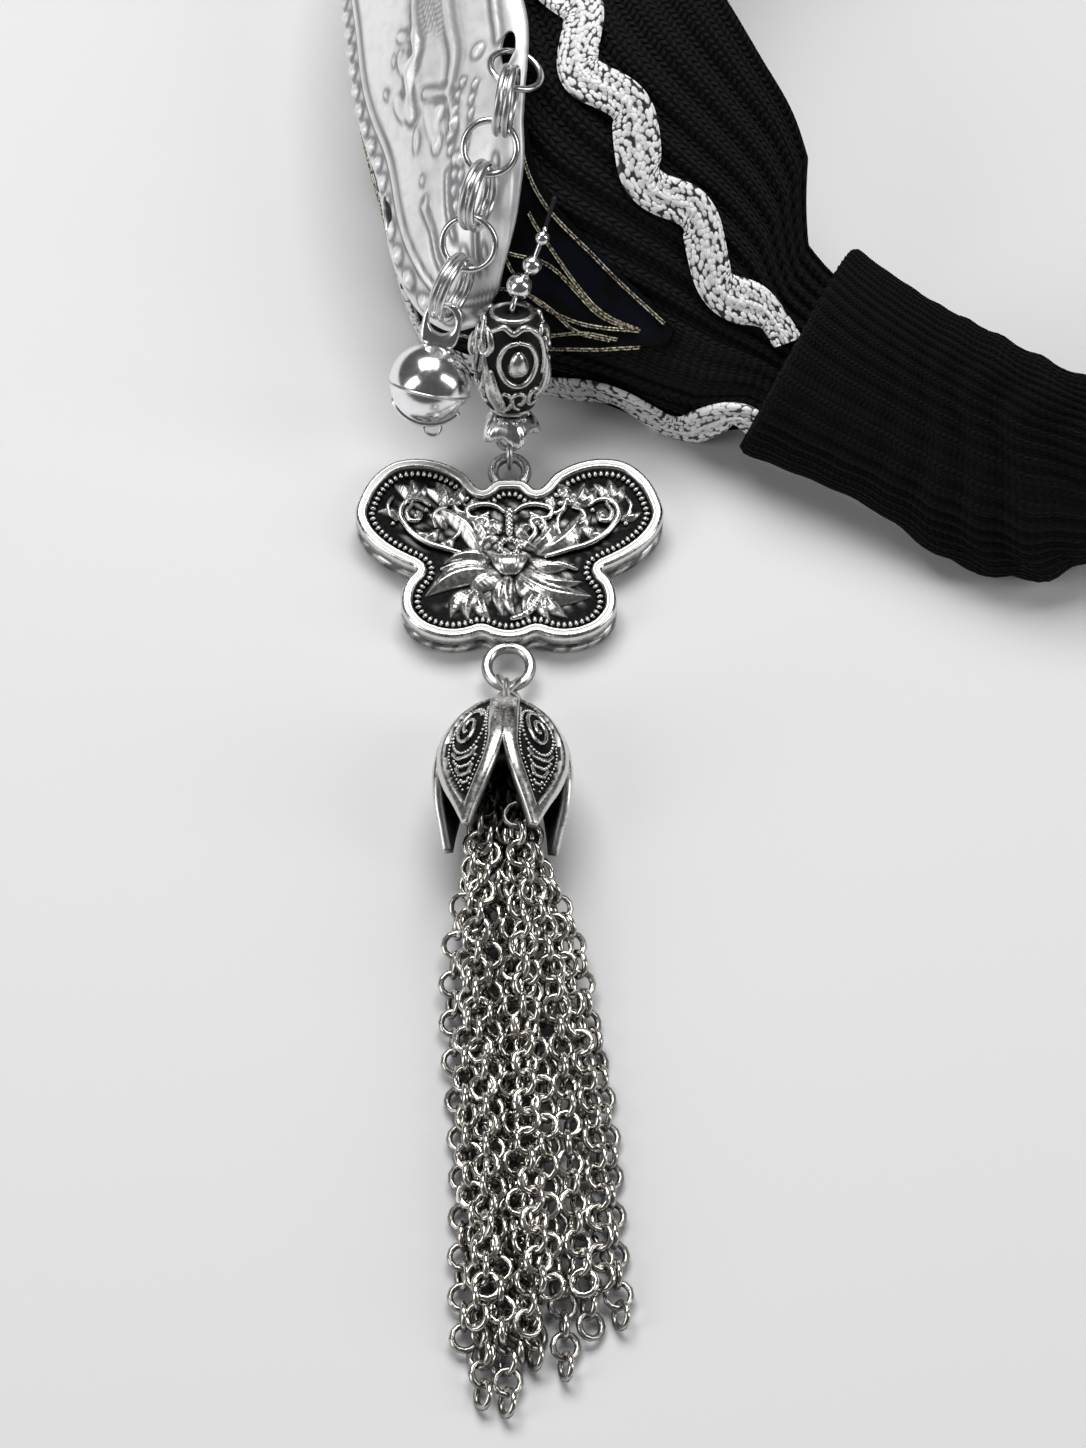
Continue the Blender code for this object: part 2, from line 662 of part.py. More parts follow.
def make_bell():
    place, axis, hole = bell_frame()
    facing = facing_across(axis)
    turn = axes_along(axis, np.cross(axis, facing))
    body = sphere("jingle_bell", BELL_RADIUS, place, SILVER, 14, 8, axes=turn)
    seam = torus("seam", BELL_RADIUS - 0.1, 0.35, place, axis, SILVER, 16, 5)
    tab_height = TAB_HOLE + 2.6
    tab = block("tab", (TAB_WIDTH, TAB_THICKNESS, tab_height), hole - axis * 0.5, turn)
    body = fused("jingle_bell", [body, seam, tab])
    boolean(body, cylinder("hole", TAB_HOLE / 2, 3 * TAB_THICKNESS, hole, facing, 12))
    boolean(body, sphere("hollow", BELL_RADIUS - BELL_WALL, place, SILVER, 14, 8, axes=turn))
    boolean(body, block("slot", (BELL_RADIUS * 1.7, BELL_SLOT, BELL_RADIUS), place - axis * BELL_RADIUS * 0.9, turn))
    return body


def block(name, size, place, axes):
    mesh = bpy.data.meshes.new(name)
    work = bmesh.new()
    bmesh.ops.create_cube(work, size=1.0)
    work.to_mesh(mesh)
    work.free()
    mesh.transform(Matrix.Diagonal((*[side * MM for side in size], 1)))
    mesh.transform(Matrix.Translation(Vector(place) * MM) @ axes.to_4x4())
    return add_object(name, mesh, SILVER, CUTTERS)


def cylinder(name, radius, height, place, direction, sides):
    mesh = bpy.data.meshes.new(name)
    work = bmesh.new()
    bmesh.ops.create_cone(work, cap_ends=True, segments=sides, radius1=radius * MM, radius2=radius * MM,
                          depth=height * MM)
    work.to_mesh(mesh)
    work.free()
    mesh.transform(Matrix.Translation(Vector(place) * MM) @ axes_along(direction).to_4x4())
    return add_object(name, mesh, SILVER, CUTTERS)


# Bead drop
def drop_ring():
    """Centre and normal of the ring that joins the pin's eye to the butterfly's top loop."""
    held = butterfly_loop(TOP_LOOP_SHARE) + np.array((0, TOP_LOOP_RADIUS, 0))
    inside = SMALL_RING_RADIUS - SMALL_WIRE / 2 - LOOP_WIRE / 2 - FIT_GAP
    return held + unit(DROP_RISE) * inside, np.array((1.0, 0, 0))


def drop_frame():
    """The pin's eye, and the top and foot of the barrel above it."""
    eye = drop_ring()[0] + unit(DROP_RISE) * (SMALL_RING_RADIUS + EYE_RADIUS - SMALL_WIRE - FIT_GAP)
    top = at_height(BARREL_TOP)
    return eye, top, eye + unit(top - eye) * (EYE_RADIUS + PETAL_CAP_LENGTH + 2 * FIT_GAP)


def make_drop():
    eye, top, bottom = drop_frame()
    axis = unit(bottom - top)
    eye_normal = unit(np.cross(axis, drop_ring()[1]))
    stitch = band_point(81.0, 0.55, PANEL_WALL + 2 * FIT_GAP + PIN_WIRE / 2)
    places = list(at_height(BEAD_PLACES))
    bend = top - axis * PIN_BEND
    pin = wire("pin", [stitch, *places, bend, eye - axis * EYE_RADIUS], PIN_WIRE / 2, SILVER)
    loop = torus("eye", EYE_RADIUS, SMALL_WIRE / 2, eye, eye_normal, SILVER, 12, 6)
    fused("eye_pin", [pin, loop])
    ends = [stitch, *places, bend]
    for index, (diameter, place) in enumerate(zip(BEAD_DIAMETERS, places)):
        along = unit(ends[index + 2] - ends[index])
        radius = diameter / 2
        bore = PIN_WIRE / 2 + FIT_GAP * min(1.5, radius)
        half_turn = math.acos(bore / radius)
        profile = [(radius * math.cos(t), radius * math.sin(t)) for t in np.linspace(-half_turn, half_turn, 6)]
        turned(f"bead_{index + 1}", profile, place, along, SILVER, 12)
    make_barrel(top, bottom, axis)
    make_petal_cap(bottom + axis * FIT_GAP, axis)


def butterfly_loop(share):
    return np.array((BUTTERFLY_PLACE[0], BUTTERFLY_PLACE[1] + share * BUTTERFLY_HEIGHT, LOOP_HEIGHT))


def make_barrel(top, bottom, axis):
    """An oval barrel with end collars and two framed cabochons, drilled for the pin."""
    length = np.linalg.norm(bottom - top)
    bore = PIN_WIRE / 2 + FIT_GAP
    half = BARREL_WIDTH / 2 - 0.5
    shares = ((0.0, 0.45), (0.05, 0.6), (0.12, 0.62), (0.3, 0.9), (0.5, 1.0), (0.7, 0.9), (0.88, 0.62), (0.95, 0.6),
              (1.0, 0.45))
    profile = [(bore, 0.0)] + [(half * wide, length * part) for part, wide in shares] + [(bore, length)]
    body = turned("filigree_barrel", profile, (0, 0, 0), (0, 0, 1), ANTIQUE, 16)
    pieces = [body]
    for turn in map(math.radians, BARREL_FRAMES):
        outward = np.array((math.cos(turn), math.sin(turn), 0))
        place = outward * (half - BARREL_FRAME_SINK) + np.array((0, 0, length * BARREL_FRAME_SHARE))
        pieces.append(torus("frame", 2.4, 0.5, place, outward, ANTIQUE, 14, 5))
        pieces.append(sphere("cabochon", 1.5, place, ANTIQUE, 10, 6))
    body = fused("filigree_barrel", pieces)
    body.data.transform(Matrix.Diagonal((BARREL_DEPTH / BARREL_WIDTH, 1, 1, 1)))
    turn = axes_along(axis, facing_across(axis))
    body.data.transform(Matrix.Translation(Vector(top) * MM) @ turn.to_4x4())


def make_petal_cap(top, axis):
    """A shallow cup whose rim is drawn out into five petals, drilled for the pin."""
    bore = PIN_WIRE / 2 + FIT_GAP
    turns = np.linspace(2 * math.pi, 0, 20, endpoint=False)
    rows = []
    for part in (0.0, 0.3, 0.65, 1.0):
        ring = []
        for turn in turns:
            petal = 0.5 + 0.5 * math.cos(5 * turn)
            reach = bore + 0.2 + (PETAL_CAP_RADIUS - bore) * math.sin(part * math.pi / 2) * (0.82 + 0.18 * petal)
            ring.append((reach * math.cos(turn), reach * math.sin(turn),
                         0.2 + PETAL_CAP_LENGTH * part ** 1.7 * (0.72 + 0.28 * petal)))
        rows.append(ring)
    cup = shell("petal_cap", rows, 0.5, SILVER, round_ends=True)
    cup.data.transform(Matrix.Translation(Vector(top) * MM) @ axes_along(axis, (1, 0, 0)).to_4x4())


# Butterfly
# Half outline of the butterfly from its top to its foot: side as a share of half the width, rise as a share
# of half the height.
BUTTERFLY_OUTLINE = (
    (0.0, 0.74), (0.10, 0.72), (0.19, 0.62), (0.27, 0.70), (0.42, 0.90), (0.62, 1.0), (0.82, 0.90),
    (0.96, 0.62), (1.0, 0.34), (0.95, 0.06), (0.84, -0.16), (0.71, -0.33), (0.74, -0.50), (0.74, -0.68),
    (0.66, -0.86), (0.50, -0.97), (0.32, -0.99), (0.20, -0.93), (0.10, -0.97), (0.0, -1.0),
)
TOP_LOOP_SHARE = 0.437
BOTTOM_LOOP_SHARE = -0.615


def butterfly_ring(inset, height):
    """The outline drawn in by inset along its own normals, at one height."""
    half = np.array(BUTTERFLY_OUTLINE) * (BUTTERFLY_WIDTH / 2, BUTTERFLY_HEIGHT / 2)
    outline = np.vstack([half, half[-2:0:-1] * (-1, 1)])
    ahead = np.roll(outline, -1, axis=0) - np.roll(outline, 1, axis=0)
    inward = np.stack([ahead[:, 1], -ahead[:, 0]], axis=1)
    inward = inward / np.linalg.norm(inward, axis=1)[:, None]
    ring = outline + inward * inset
    return np.column_stack([ring + BUTTERFLY_PLACE, np.full(len(ring), height)])


def make_butterfly():
    thick = BUTTERFLY_THICKNESS
    levels = ((EDGE_ROUND, 0.0), (0.0, EDGE_ROUND), (0.0, thick * 0.38), (GROOVE_DEPTH, thick * 0.42),
              (GROOVE_DEPTH, thick * 0.52), (0.0, thick * 0.56), (0.0, thick - EDGE_ROUND), (EDGE_ROUND, thick),
              (RIM_WIDTH, thick), (RIM_WIDTH + 0.2, thick - FIELD_DEPTH))
    mesh = grid_mesh("butterfly", [butterfly_ring(inset, height) for inset, height in levels], round_ends=True)
    work = bmesh.new()
    work.from_mesh(mesh)
    bmesh.ops.holes_fill(work, edges=[edge for edge in work.edges if edge.is_boundary])
    bmesh.ops.triangulate(work, faces=[face for face in work.faces if len(face.verts) > 4])
    bmesh.ops.recalc_face_normals(work, faces=work.faces)
    work.to_mesh(mesh)
    work.free()
    pieces = [add_object("butterfly", mesh, ANTIQUE)]
    floor = thick - FIELD_DEPTH
    for side, rise, long, wide, tall, turn in BUTTERFLY_RELIEF:
        for hand in ((1,) if side == 0 else (1, -1)):
            axes = Matrix.Rotation(math.radians(turn * hand), 3, "Z")
            place = (BUTTERFLY_PLACE[0] + hand * side * BUTTERFLY_WIDTH / 2,
                     BUTTERFLY_PLACE[1] + rise * BUTTERFLY_HEIGHT / 2, floor)
            pieces.append(sphere("leaf", 1.0, place, ANTIQUE, 8, 5, scale=(long, wide, tall), axes=axes))
    for share, radius in ((TOP_LOOP_SHARE, TOP_LOOP_RADIUS), (BOTTOM_LOOP_SHARE, BOTTOM_LOOP_RADIUS)):
        pieces.append(torus("loop", radius, LOOP_WIRE / 2, butterfly_loop(share), (0, 0, 1), ANTIQUE))
    return fused("butterfly", pieces)


# Raised leaves and bud: side and rise as shares, half length, half width and height in millimetres, turn.
BUTTERFLY_RELIEF = (
    (0.0, 0.16, 2.2, 1.6, 1.5, 0.0),
    (0.18, 0.34, 2.4, 0.9, 1.1, 20.0),
    (0.45, 0.30, 3.6, 1.3, 1.2, 55.0),
    (0.70, 0.42, 3.2, 1.2, 1.2, -35.0),
    (0.30, -0.42, 4.6, 1.3, 1.3, -12.0),
    (0.10, -0.55, 3.0, 1.2, 1.2, -62.0),
)


# Tulip cap
CAP_OUTLINE = ((0.0, 0.22), (0.03, 0.36), (0.12, 0.62), (0.28, 0.88), (0.48, 1.0), (0.68, 0.97), (0.84, 0.89),
               (1.0, 0.84))
GAP_OUTLINE = ((0.36, 0.0), (0.5, 0.05), (0.66, 0.16), (0.84, 0.33), (1.06, 0.5))


def make_cap():
    top, mouth = cap_frame()
    length = CAP_LENGTH
    turns = np.linspace(2 * math.pi, 0, CAP_SIDES, endpoint=False) + math.pi / CAP_SIDES
    rows = [[(CAP_RADIUS * wide * math.cos(t), CAP_RADIUS * wide * math.sin(t), length * part) for t in turns]
            for part, wide in CAP_OUTLINE]
    cup = shell("cup", rows, CAP_WALL, ANTIQUE, round_ends=True)
    flat = boolean_ready(cup)
    for index in range(CAP_PETALS):
        boolean(flat, gap_cutter(length, 2 * math.pi * index / CAP_PETALS + math.pi / 2))
    place = Matrix.Translation(Vector(top) * MM) @ axes_along(mouth - top, (1, 0, 0)).to_4x4()
    flat.data.transform(place)
    _, eye, normal = cap_rings()
    plug = cylinder("plug", CAP_RADIUS * 0.3, 1.6, top + unit(CAP_SLOPE) * 0.4, CAP_SLOPE, 12)
    loop = torus("eye", EYE_RADIUS, SMALL_WIRE / 2, eye, normal, ANTIQUE, 12, 6)
    return fused("tulip_cap", [flat, plug, loop])


def boolean_ready(thing):
    """The object with its modifiers applied."""
    mesh = bpy.data.meshes.new_from_object(thing.evaluated_get(bpy.context.evaluated_depsgraph_get()))
    thing.modifiers.clear()
    thing.data = mesh
    return thing


def gap_cutter(length, turn):
    """A pointed prism that opens the gap between two petals, from its point to beyond the mouth."""
    outline = [(wide * CAP_RADIUS, part * length) for part, wide in GAP_OUTLINE]
    outline = outline + [(-x, z) for x, z in outline[:0:-1]]
    work = bmesh.new()
    corners = [work.verts.new((x * MM, 0, z * MM)) for x, z in outline]
    face = work.faces.new(corners)
    raised = bmesh.ops.extrude_face_region(work, geom=[face])
    bmesh.ops.translate(work, vec=(0, 1.5 * CAP_RADIUS * MM, 0),
                        verts=[v for v in raised["geom"] if isinstance(v, bmesh.types.BMVert)])
    bmesh.ops.recalc_face_normals(work, faces=work.faces)
    mesh = bpy.data.meshes.new("gap_cutter")
    work.to_mesh(mesh)
    work.free()
    mesh.transform(Matrix.Rotation(turn - math.pi / 2, 4, "Z"))
    return add_object("gap_cutter", mesh, ANTIQUE, CUTTERS)


def cap_rings():
    """Places and normals of the two rings between the butterfly's foot and the cap, and the cap's eye."""
    held = butterfly_loop(BOTTOM_LOOP_SHARE) - np.array((0, BOTTOM_LOOP_RADIUS, 0))
    toward = unit(CAP_RISE)
    first_normal = np.array((1.0, 0, 0))
    second_normal = np.cross(toward, first_normal)
    inside = SMALL_RING_RADIUS - SMALL_WIRE / 2 - LOOP_WIRE / 2 - FIT_GAP
    first = held + toward * inside
    second = first + toward * (2 * SMALL_RING_RADIUS - SMALL_WIRE - FIT_GAP)
    eye = second + toward * (SMALL_RING_RADIUS + EYE_RADIUS - SMALL_WIRE - FIT_GAP)
    return [(first, first_normal), (second, second_normal)], eye, first_normal


def cap_frame():
    """The middle of the cap's closed top and of its mouth."""
    top = cap_rings()[1] + unit(CAP_SLOPE) * (EYE_RADIUS + SMALL_WIRE / 2)
    return top, top + unit(CAP_SLOPE) * CAP_LENGTH


def make_small_rings():
    place, normal = drop_ring()
    torus("drop_ring", SMALL_RING_RADIUS, SMALL_WIRE / 2, place, normal, SILVER, 12, 6)
    for index, (place, normal) in enumerate(cap_rings()[0]):
        torus(f"cap_ring_{index + 1}", SMALL_RING_RADIUS, SMALL_WIRE / 2, place, normal, ANTIQUE, 12, 6)


# Chain tassel
# Strands: side and lift at the cap's mouth, side at mid length, side and reach at the end, lift on the floor.
# Sides are millimetres from the cap's axis, and the reach is a share of STRAND_LENGTH.
TASSEL_STRANDS = (
    (-4.6, -0.8, -5.4, -3.6, 0.90, 0.0),
    (-2.9, -2.9, -2.9, -1.4, 0.97, 0.0),
    (-0.6, -3.6, -0.2, 0.9, 1.00, 0.0),
    (1.7, -3.4, 2.6, 4.2, 0.93, 0.0),
    (3.8, -2.4, 5.4, 7.7, 0.92, 0.0),
    (5.0, -0.4, 8.3, 11.2, 0.85, 0.0),
    (6.0, 1.8, 11.2, 14.8, 0.84, 0.0),
    (-3.4, 1.6, -4.0, -2.6, 0.84, 1.0),
    (-1.2, -0.6, -1.4, 0.4, 0.88, 1.0),
    (1.2, -0.6, 1.4, 3.2, 0.86, 1.0),
    (2.6, 1.4, 4.2, 6.6, 0.82, 1.0),
    (3.6, 3.6, 7.0, 10.0, 0.80, 1.0),
)


def strand_route(side, lift, middle, end, reach, layer):
    """A strand's centre line: out of the cap, down to the floor and along it."""
    top, mouth = cap_frame()
    axis = unit(mouth - top)
    deep = top + axis * 0.42 * np.linalg.norm(mouth - top)
    rest = STRAND_RADIUS + layer * STRAND_RADIUS * 1.72
    far = STRAND_LENGTH * reach
    places = [deep + np.array((side * 0.5, 0, lift * 0.4)), mouth + np.array((side * 0.62, 2.0, lift * 0.8 - 1.6)),
              np.array((mouth[0] + 0.5 * (side + middle), mouth[1] - 9, max(rest, rest + 2.2 + lift * 0.4))),
              np.array((mouth[0] + middle, mouth[1] - far * 0.42, rest)),
              np.array((mouth[0] + 0.45 * middle + 0.55 * end, mouth[1] - far * 0.68, rest)),
              np.array((mouth[0] + end, mouth[1] - far, rest))]
    run = np.concatenate([[0], np.cumsum([np.linalg.norm(b - a) for a, b in zip(places, places[1:])])])
    path = smooth_rows(np.column_stack([run, places]), np.linspace(0, run[-1], 9))
    path[2:, 2] = np.maximum(path[2:, 2], rest)
    return path


def make_tassel():
    top, mouth = cap_frame()
    head_place = top + 0.42 * (mouth - top)
    pieces = [cylinder("head", 4.4, 2.4, head_place, mouth - top, 14)]
    for row in TASSEL_STRANDS:
        pieces.append(tube("strand", strand_route(*row), STRAND_RADIUS * 0.92, STRAND_SIDES))
    body = fused("tassel_chains", pieces)
    body.data.materials.clear()
    body.data.materials.append(CHAIN_METAL)
    PARTS.objects.link(body)
    CUTTERS.objects.unlink(body)


def tube(name, path, radius, sides):
    """A tube with flat foot edge, swept along a path with an upright frame."""
    path = np.asarray(path, float)
    ahead = np.gradient(path, axis=0)
    ahead = ahead / np.linalg.norm(ahead, axis=1)[:, None]
    across = np.cross(ahead, (0, 0, 1))
    across = across / np.linalg.norm(across, axis=1)[:, None]
    rise = np.cross(across, ahead)
    turns = np.linspace(0, 2 * math.pi, sides, endpoint=False) + math.pi / sides
    rings = [path[i] + radius * (np.cos(turns)[:, None] * across[i] + np.sin(turns)[:, None] * rise[i])
             for i in range(len(path))]
    mesh = grid_mesh(name, rings, round_ends=True)
    work = bmesh.new()
    work.from_mesh(mesh)
    bmesh.ops.holes_fill(work, edges=[edge for edge in work.edges if edge.is_boundary])
    bmesh.ops.recalc_face_normals(work, faces=work.faces)
    work.to_mesh(mesh)
    work.free()
    return add_object(name, mesh, CHAIN_METAL)


def set_origin():
    """Moves the whole part so that the middle of its footprint, at its lowest height, is the origin."""
    graph = bpy.context.evaluated_depsgraph_get()
    corners = np.array([vertex.co for thing in PARTS.objects if thing.type == "MESH"
                        for vertex in thing.evaluated_get(graph).data.vertices])
    middle = (corners.min(axis=0) + corners.max(axis=0)) / 2
    FRAME.location = (-middle[0], -middle[1], -corners[:, 2].min())


make_band()
make_panel()
make_plate()
make_ricrac("upper_ricrac", upper_braid_share, CUFF_START - 1.6)
make_ricrac("lower_ricrac", lower_braid_share, CUFF_START - 1.6)
make_cuff()
make_bell_chain()
make_bell()
make_drop()
make_small_rings()
make_butterfly()
make_cap()
make_tassel()
set_origin()
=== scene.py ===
"""Looks of the embroidered headband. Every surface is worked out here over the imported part's frame."""
import math

import bmesh
import bpy
import numpy as np
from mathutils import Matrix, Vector


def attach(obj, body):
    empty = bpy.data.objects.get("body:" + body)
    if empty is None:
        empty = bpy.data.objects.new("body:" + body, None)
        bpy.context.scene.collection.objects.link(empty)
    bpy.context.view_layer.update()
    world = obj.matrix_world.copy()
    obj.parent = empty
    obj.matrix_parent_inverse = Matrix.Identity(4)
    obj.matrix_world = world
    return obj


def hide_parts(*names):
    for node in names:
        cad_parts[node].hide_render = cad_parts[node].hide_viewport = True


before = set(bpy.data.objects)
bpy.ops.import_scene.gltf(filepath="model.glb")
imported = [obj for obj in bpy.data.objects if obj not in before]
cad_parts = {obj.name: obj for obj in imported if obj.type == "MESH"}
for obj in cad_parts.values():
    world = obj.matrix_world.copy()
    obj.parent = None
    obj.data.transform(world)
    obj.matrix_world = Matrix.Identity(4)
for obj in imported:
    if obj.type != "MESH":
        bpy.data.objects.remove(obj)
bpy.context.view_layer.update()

MM = 0.001
TURN = 2 * math.pi
# Points of a mesh closer than this, in metres, are one.
MERGE_DISTANCE = 2e-7

# Sizes are millimetres, counted from the middle of the photograph's picture on the floor. SHIFT takes that
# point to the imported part's own origin.
SHIFT = np.array((-62.910, -57.296, 0.0))

# The band, as the part has it.
LOOP_RADIUS = 86.0
BAND_HEIGHT = 54.0
BAND_WALL = 2.0
HEM_HEIGHT = 1.5
FRONT_BEARING = 140.0
SIDE_POINT = (-10.7, 48.8)
SIDE_BEARING = 81.0
SIDE_REACH = 1.12
BAND_END = 112.0
CUFF_START = 103.5
TUCK_START = 99.0
SLEEVE_TUCK = 0.14
CUFF_THICKNESS = 8.6
CUFF_SQUARENESS = 0.75
PANEL_GAP = 0.3
PANEL_WALL = 1.0
PANEL_END = 95.0
PLATE_WALL = 0.6
PLATE_END = 81.5
PLATE_EDGE_LIFT = 1.0
PLATE_RIDGE = 0.4
BRAID_GAP = 0.65

# Sections: bearing, then reach (share of LOOP_RADIUS) and height (share of BAND_HEIGHT) of the hem, belly,
# shoulder and top edge.
BAND_SECTIONS = (
    (0, 1.000, 0.0, 1.017, 0.26, 0.849, 0.722, 0.581, 1.000),
    (30, 1.000, 0.0, 1.017, 0.26, 0.849, 0.722, 0.581, 1.000),
    (50, 1.008, 0.0, 1.029, 0.26, 0.884, 0.713, 0.581, 0.926),
    (66, 1.052, 0.0, 1.073, 0.26, 0.919, 0.685, 0.581, 0.870),
    (79, 1.097, 0.0, 1.118, 0.26, 0.942, 0.611, 0.581, 0.824),
    (87, 0.998, 0.0, 1.020, 0.26, 0.930, 0.472, 0.587, 0.741),
    (95, 0.959, 0.0, 0.959, 0.26, 0.872, 0.407, 0.606, 0.648),
    (104, 0.944, 0.03, 0.919, 0.24, 0.834, 0.370, 0.672, 0.505),
    (117, 0.971, 0.03, 0.953, 0.20, 0.866, 0.370, 0.767, 0.509),
    (126, 1.050, 0.02, 1.012, 0.185, 0.919, 0.370, 0.831, 0.519),
    (132, 1.062, 0.02, 1.035, 0.185, 0.965, 0.370, 0.890, 0.528),
    (138, 1.023, 0.02, 1.006, 0.19, 0.977, 0.380, 0.942, 0.528),
    (150, 1.017, 0.02, 1.009, 0.19, 0.994, 0.380, 0.977, 0.546),
    (180, 1.012, 0.02, 1.006, 0.19, 0.994, 0.380, 0.977, 0.546),
)
# Seams of the panel and edges of the plate: bearing, lower and upper share of the band's width.
SEAM_SECTIONS = ((0, 0.20, 0.72), (50, 0.20, 0.72), (65, 0.19, 0.705), (75, 0.19, 0.60), (79, 0.19, 0.55),
                 (87, 0.235, 0.475), (95, 0.35, 0.40))
PLATE_SECTIONS = (
    (0, 0.25, 0.70), (50, 0.265, 0.715), (63, 0.265, 0.71), (72, 0.245, 0.655), (75, 0.232, 0.61),
    (78.5, 0.212, 0.53), (80, 0.22, 0.46), (81.5, 0.26, 0.345),
)
# Elastic back: bearing, lean of its upper edge in degrees and share of CUFF_THICKNESS.
CUFF_SECTIONS = (
    (103.5, 5.0, 1.00), (109, 3.5, 1.00), (117, 1.0, 0.90), (126, -1.0, 0.95), (132, -1.0, 1.05),
    (138, 0.0, 0.85), (150, 0.0, 0.80), (180, 0.0, 0.80),
)
CUFF_ROWS = CUFF_SECTIONS + tuple((360 - row[0], -row[1], row[2]) for row in CUFF_SECTIONS[-2::-1])


def unit(vector):
    """Each vector over its own length."""
    vector = np.asarray(vector, float)
    return vector / np.linalg.norm(vector, axis=-1, keepdims=True)


def ease(value):
    """0 below 0, 1 above 1 and a smooth step between."""
    t = np.clip(value, 0, 1)
    return t * t * (3 - 2 * t)


def spin(count):
    """Even turns once round, in radians."""
    return np.linspace(0, TURN, count, endpoint=False)


def out_at(turn, first, second):
    """The direction at a turn from first towards second."""
    return np.cos(turn) * first + np.sin(turn) * second


def square_pair(axis, hint=(0.3, 0.5, 0.81)):
    """Two unit vectors square to an axis and to each other."""
    first = unit(np.cross(axis, hint))
    return first, np.cross(axis, first)


def square_to(direction, wanted):
    """The unit vector nearest the wanted one and square to a direction."""
    return unit(wanted - np.dot(wanted, direction) * direction)


def squared_off(value, power):
    """A sine or cosine drawn towards 1 or -1, which turns an oval into a squarish one."""
    return np.sign(value) * np.abs(value) ** power


def through(run, knots, where):
    """Cubic pieces through each row's knots. The slope at a knot is the mean of the slopes beside it, each
    weighted by the other one's step. run is (n, k), knots (n, k, d) and where (n, m)."""
    step = np.diff(run, axis=1)[..., None]
    slope = np.diff(knots, axis=1) / step
    inner = (slope[:, :-1] * step[:, 1:] + slope[:, 1:] * step[:, :-1]) / (step[:, :-1] + step[:, 1:])
    bend = np.concatenate([slope[:, :1], inner, slope[:, -1:]], axis=1)
    piece = np.clip((where[..., None] >= run[:, None, :]).sum(-1) - 1, 0, run.shape[1] - 2)[..., None]

    def pick(table, index):
        return np.take_along_axis(table, np.broadcast_to(index, index.shape[:2] + table.shape[2:]), axis=1)

    h = pick(step, piece)
    t = (where[..., None] - pick(run[..., None], piece)) / h
    return ((2 * t**3 - 3 * t**2 + 1) * pick(knots, piece) + (t**3 - 2 * t**2 + t) * h * pick(bend, piece)
            + (-2 * t**3 + 3 * t**2) * pick(knots, piece + 1) + (t**3 - t**2) * h * pick(bend, piece + 1))


def read_rows(rows, where):
    """Reads a table's columns at each place, smoothly between its rows."""
    table = np.asarray(rows, float)
    return through(table[None, :, 0], table[None, :, 1:], np.atleast_1d(np.asarray(where, float))[None])[0]


def read_one(rows, where):
    """Reads a table's only column at places, in the places' own shape."""
    return read_rows(rows, np.ravel(where))[:, 0].reshape(np.shape(where))


def both_sides(rows):
    """The table for both sides of the front, where one side repeats the other."""
    return [(-row[0],) + tuple(row[1:]) for row in rows[:0:-1]] + list(rows)


def edges_at(sections, bearing):
    """A strip's lower and upper edge at bearings, as shares of the band's width."""
    low, high = read_rows(both_sides(sections), np.ravel(bearing)).T
    return low.reshape(np.shape(bearing)), high.reshape(np.shape(bearing))


def run_along(points):
    """Distance along each row of points from its first one."""
    step = np.linalg.norm(np.diff(points, axis=-2), axis=-1)
    return np.concatenate([np.zeros_like(step[..., :1]), np.cumsum(step, axis=-1)], axis=-1)


def at_steps(path, run, steps):
    """Points of a path at steps of its run, on straight lines between its own points."""
    return np.stack([np.interp(steps, run, path[:, axis]) for axis in range(path.shape[1])], axis=1)


def even_path(path, count):
    """The same path as evenly spaced points."""
    run = run_along(path)
    return at_steps(path, run, np.linspace(0, run[-1], count))


def smooth_path(places, count):
    """A smooth path through the places with evenly spaced points."""
    places = np.asarray(places, float)
    run = run_along(places)
    return even_path(read_rows(np.column_stack([run, places]), np.linspace(0, run[-1], 12 * count)), count)


# The band's outer face, worked out once on a fine table of bearings and shares and read between its
# entries.
TABLE_STEP = 0.5
TABLE_SHARES = 121
TABLE_BEARINGS = np.arange(-180, 180 + TABLE_STEP / 2, TABLE_STEP)


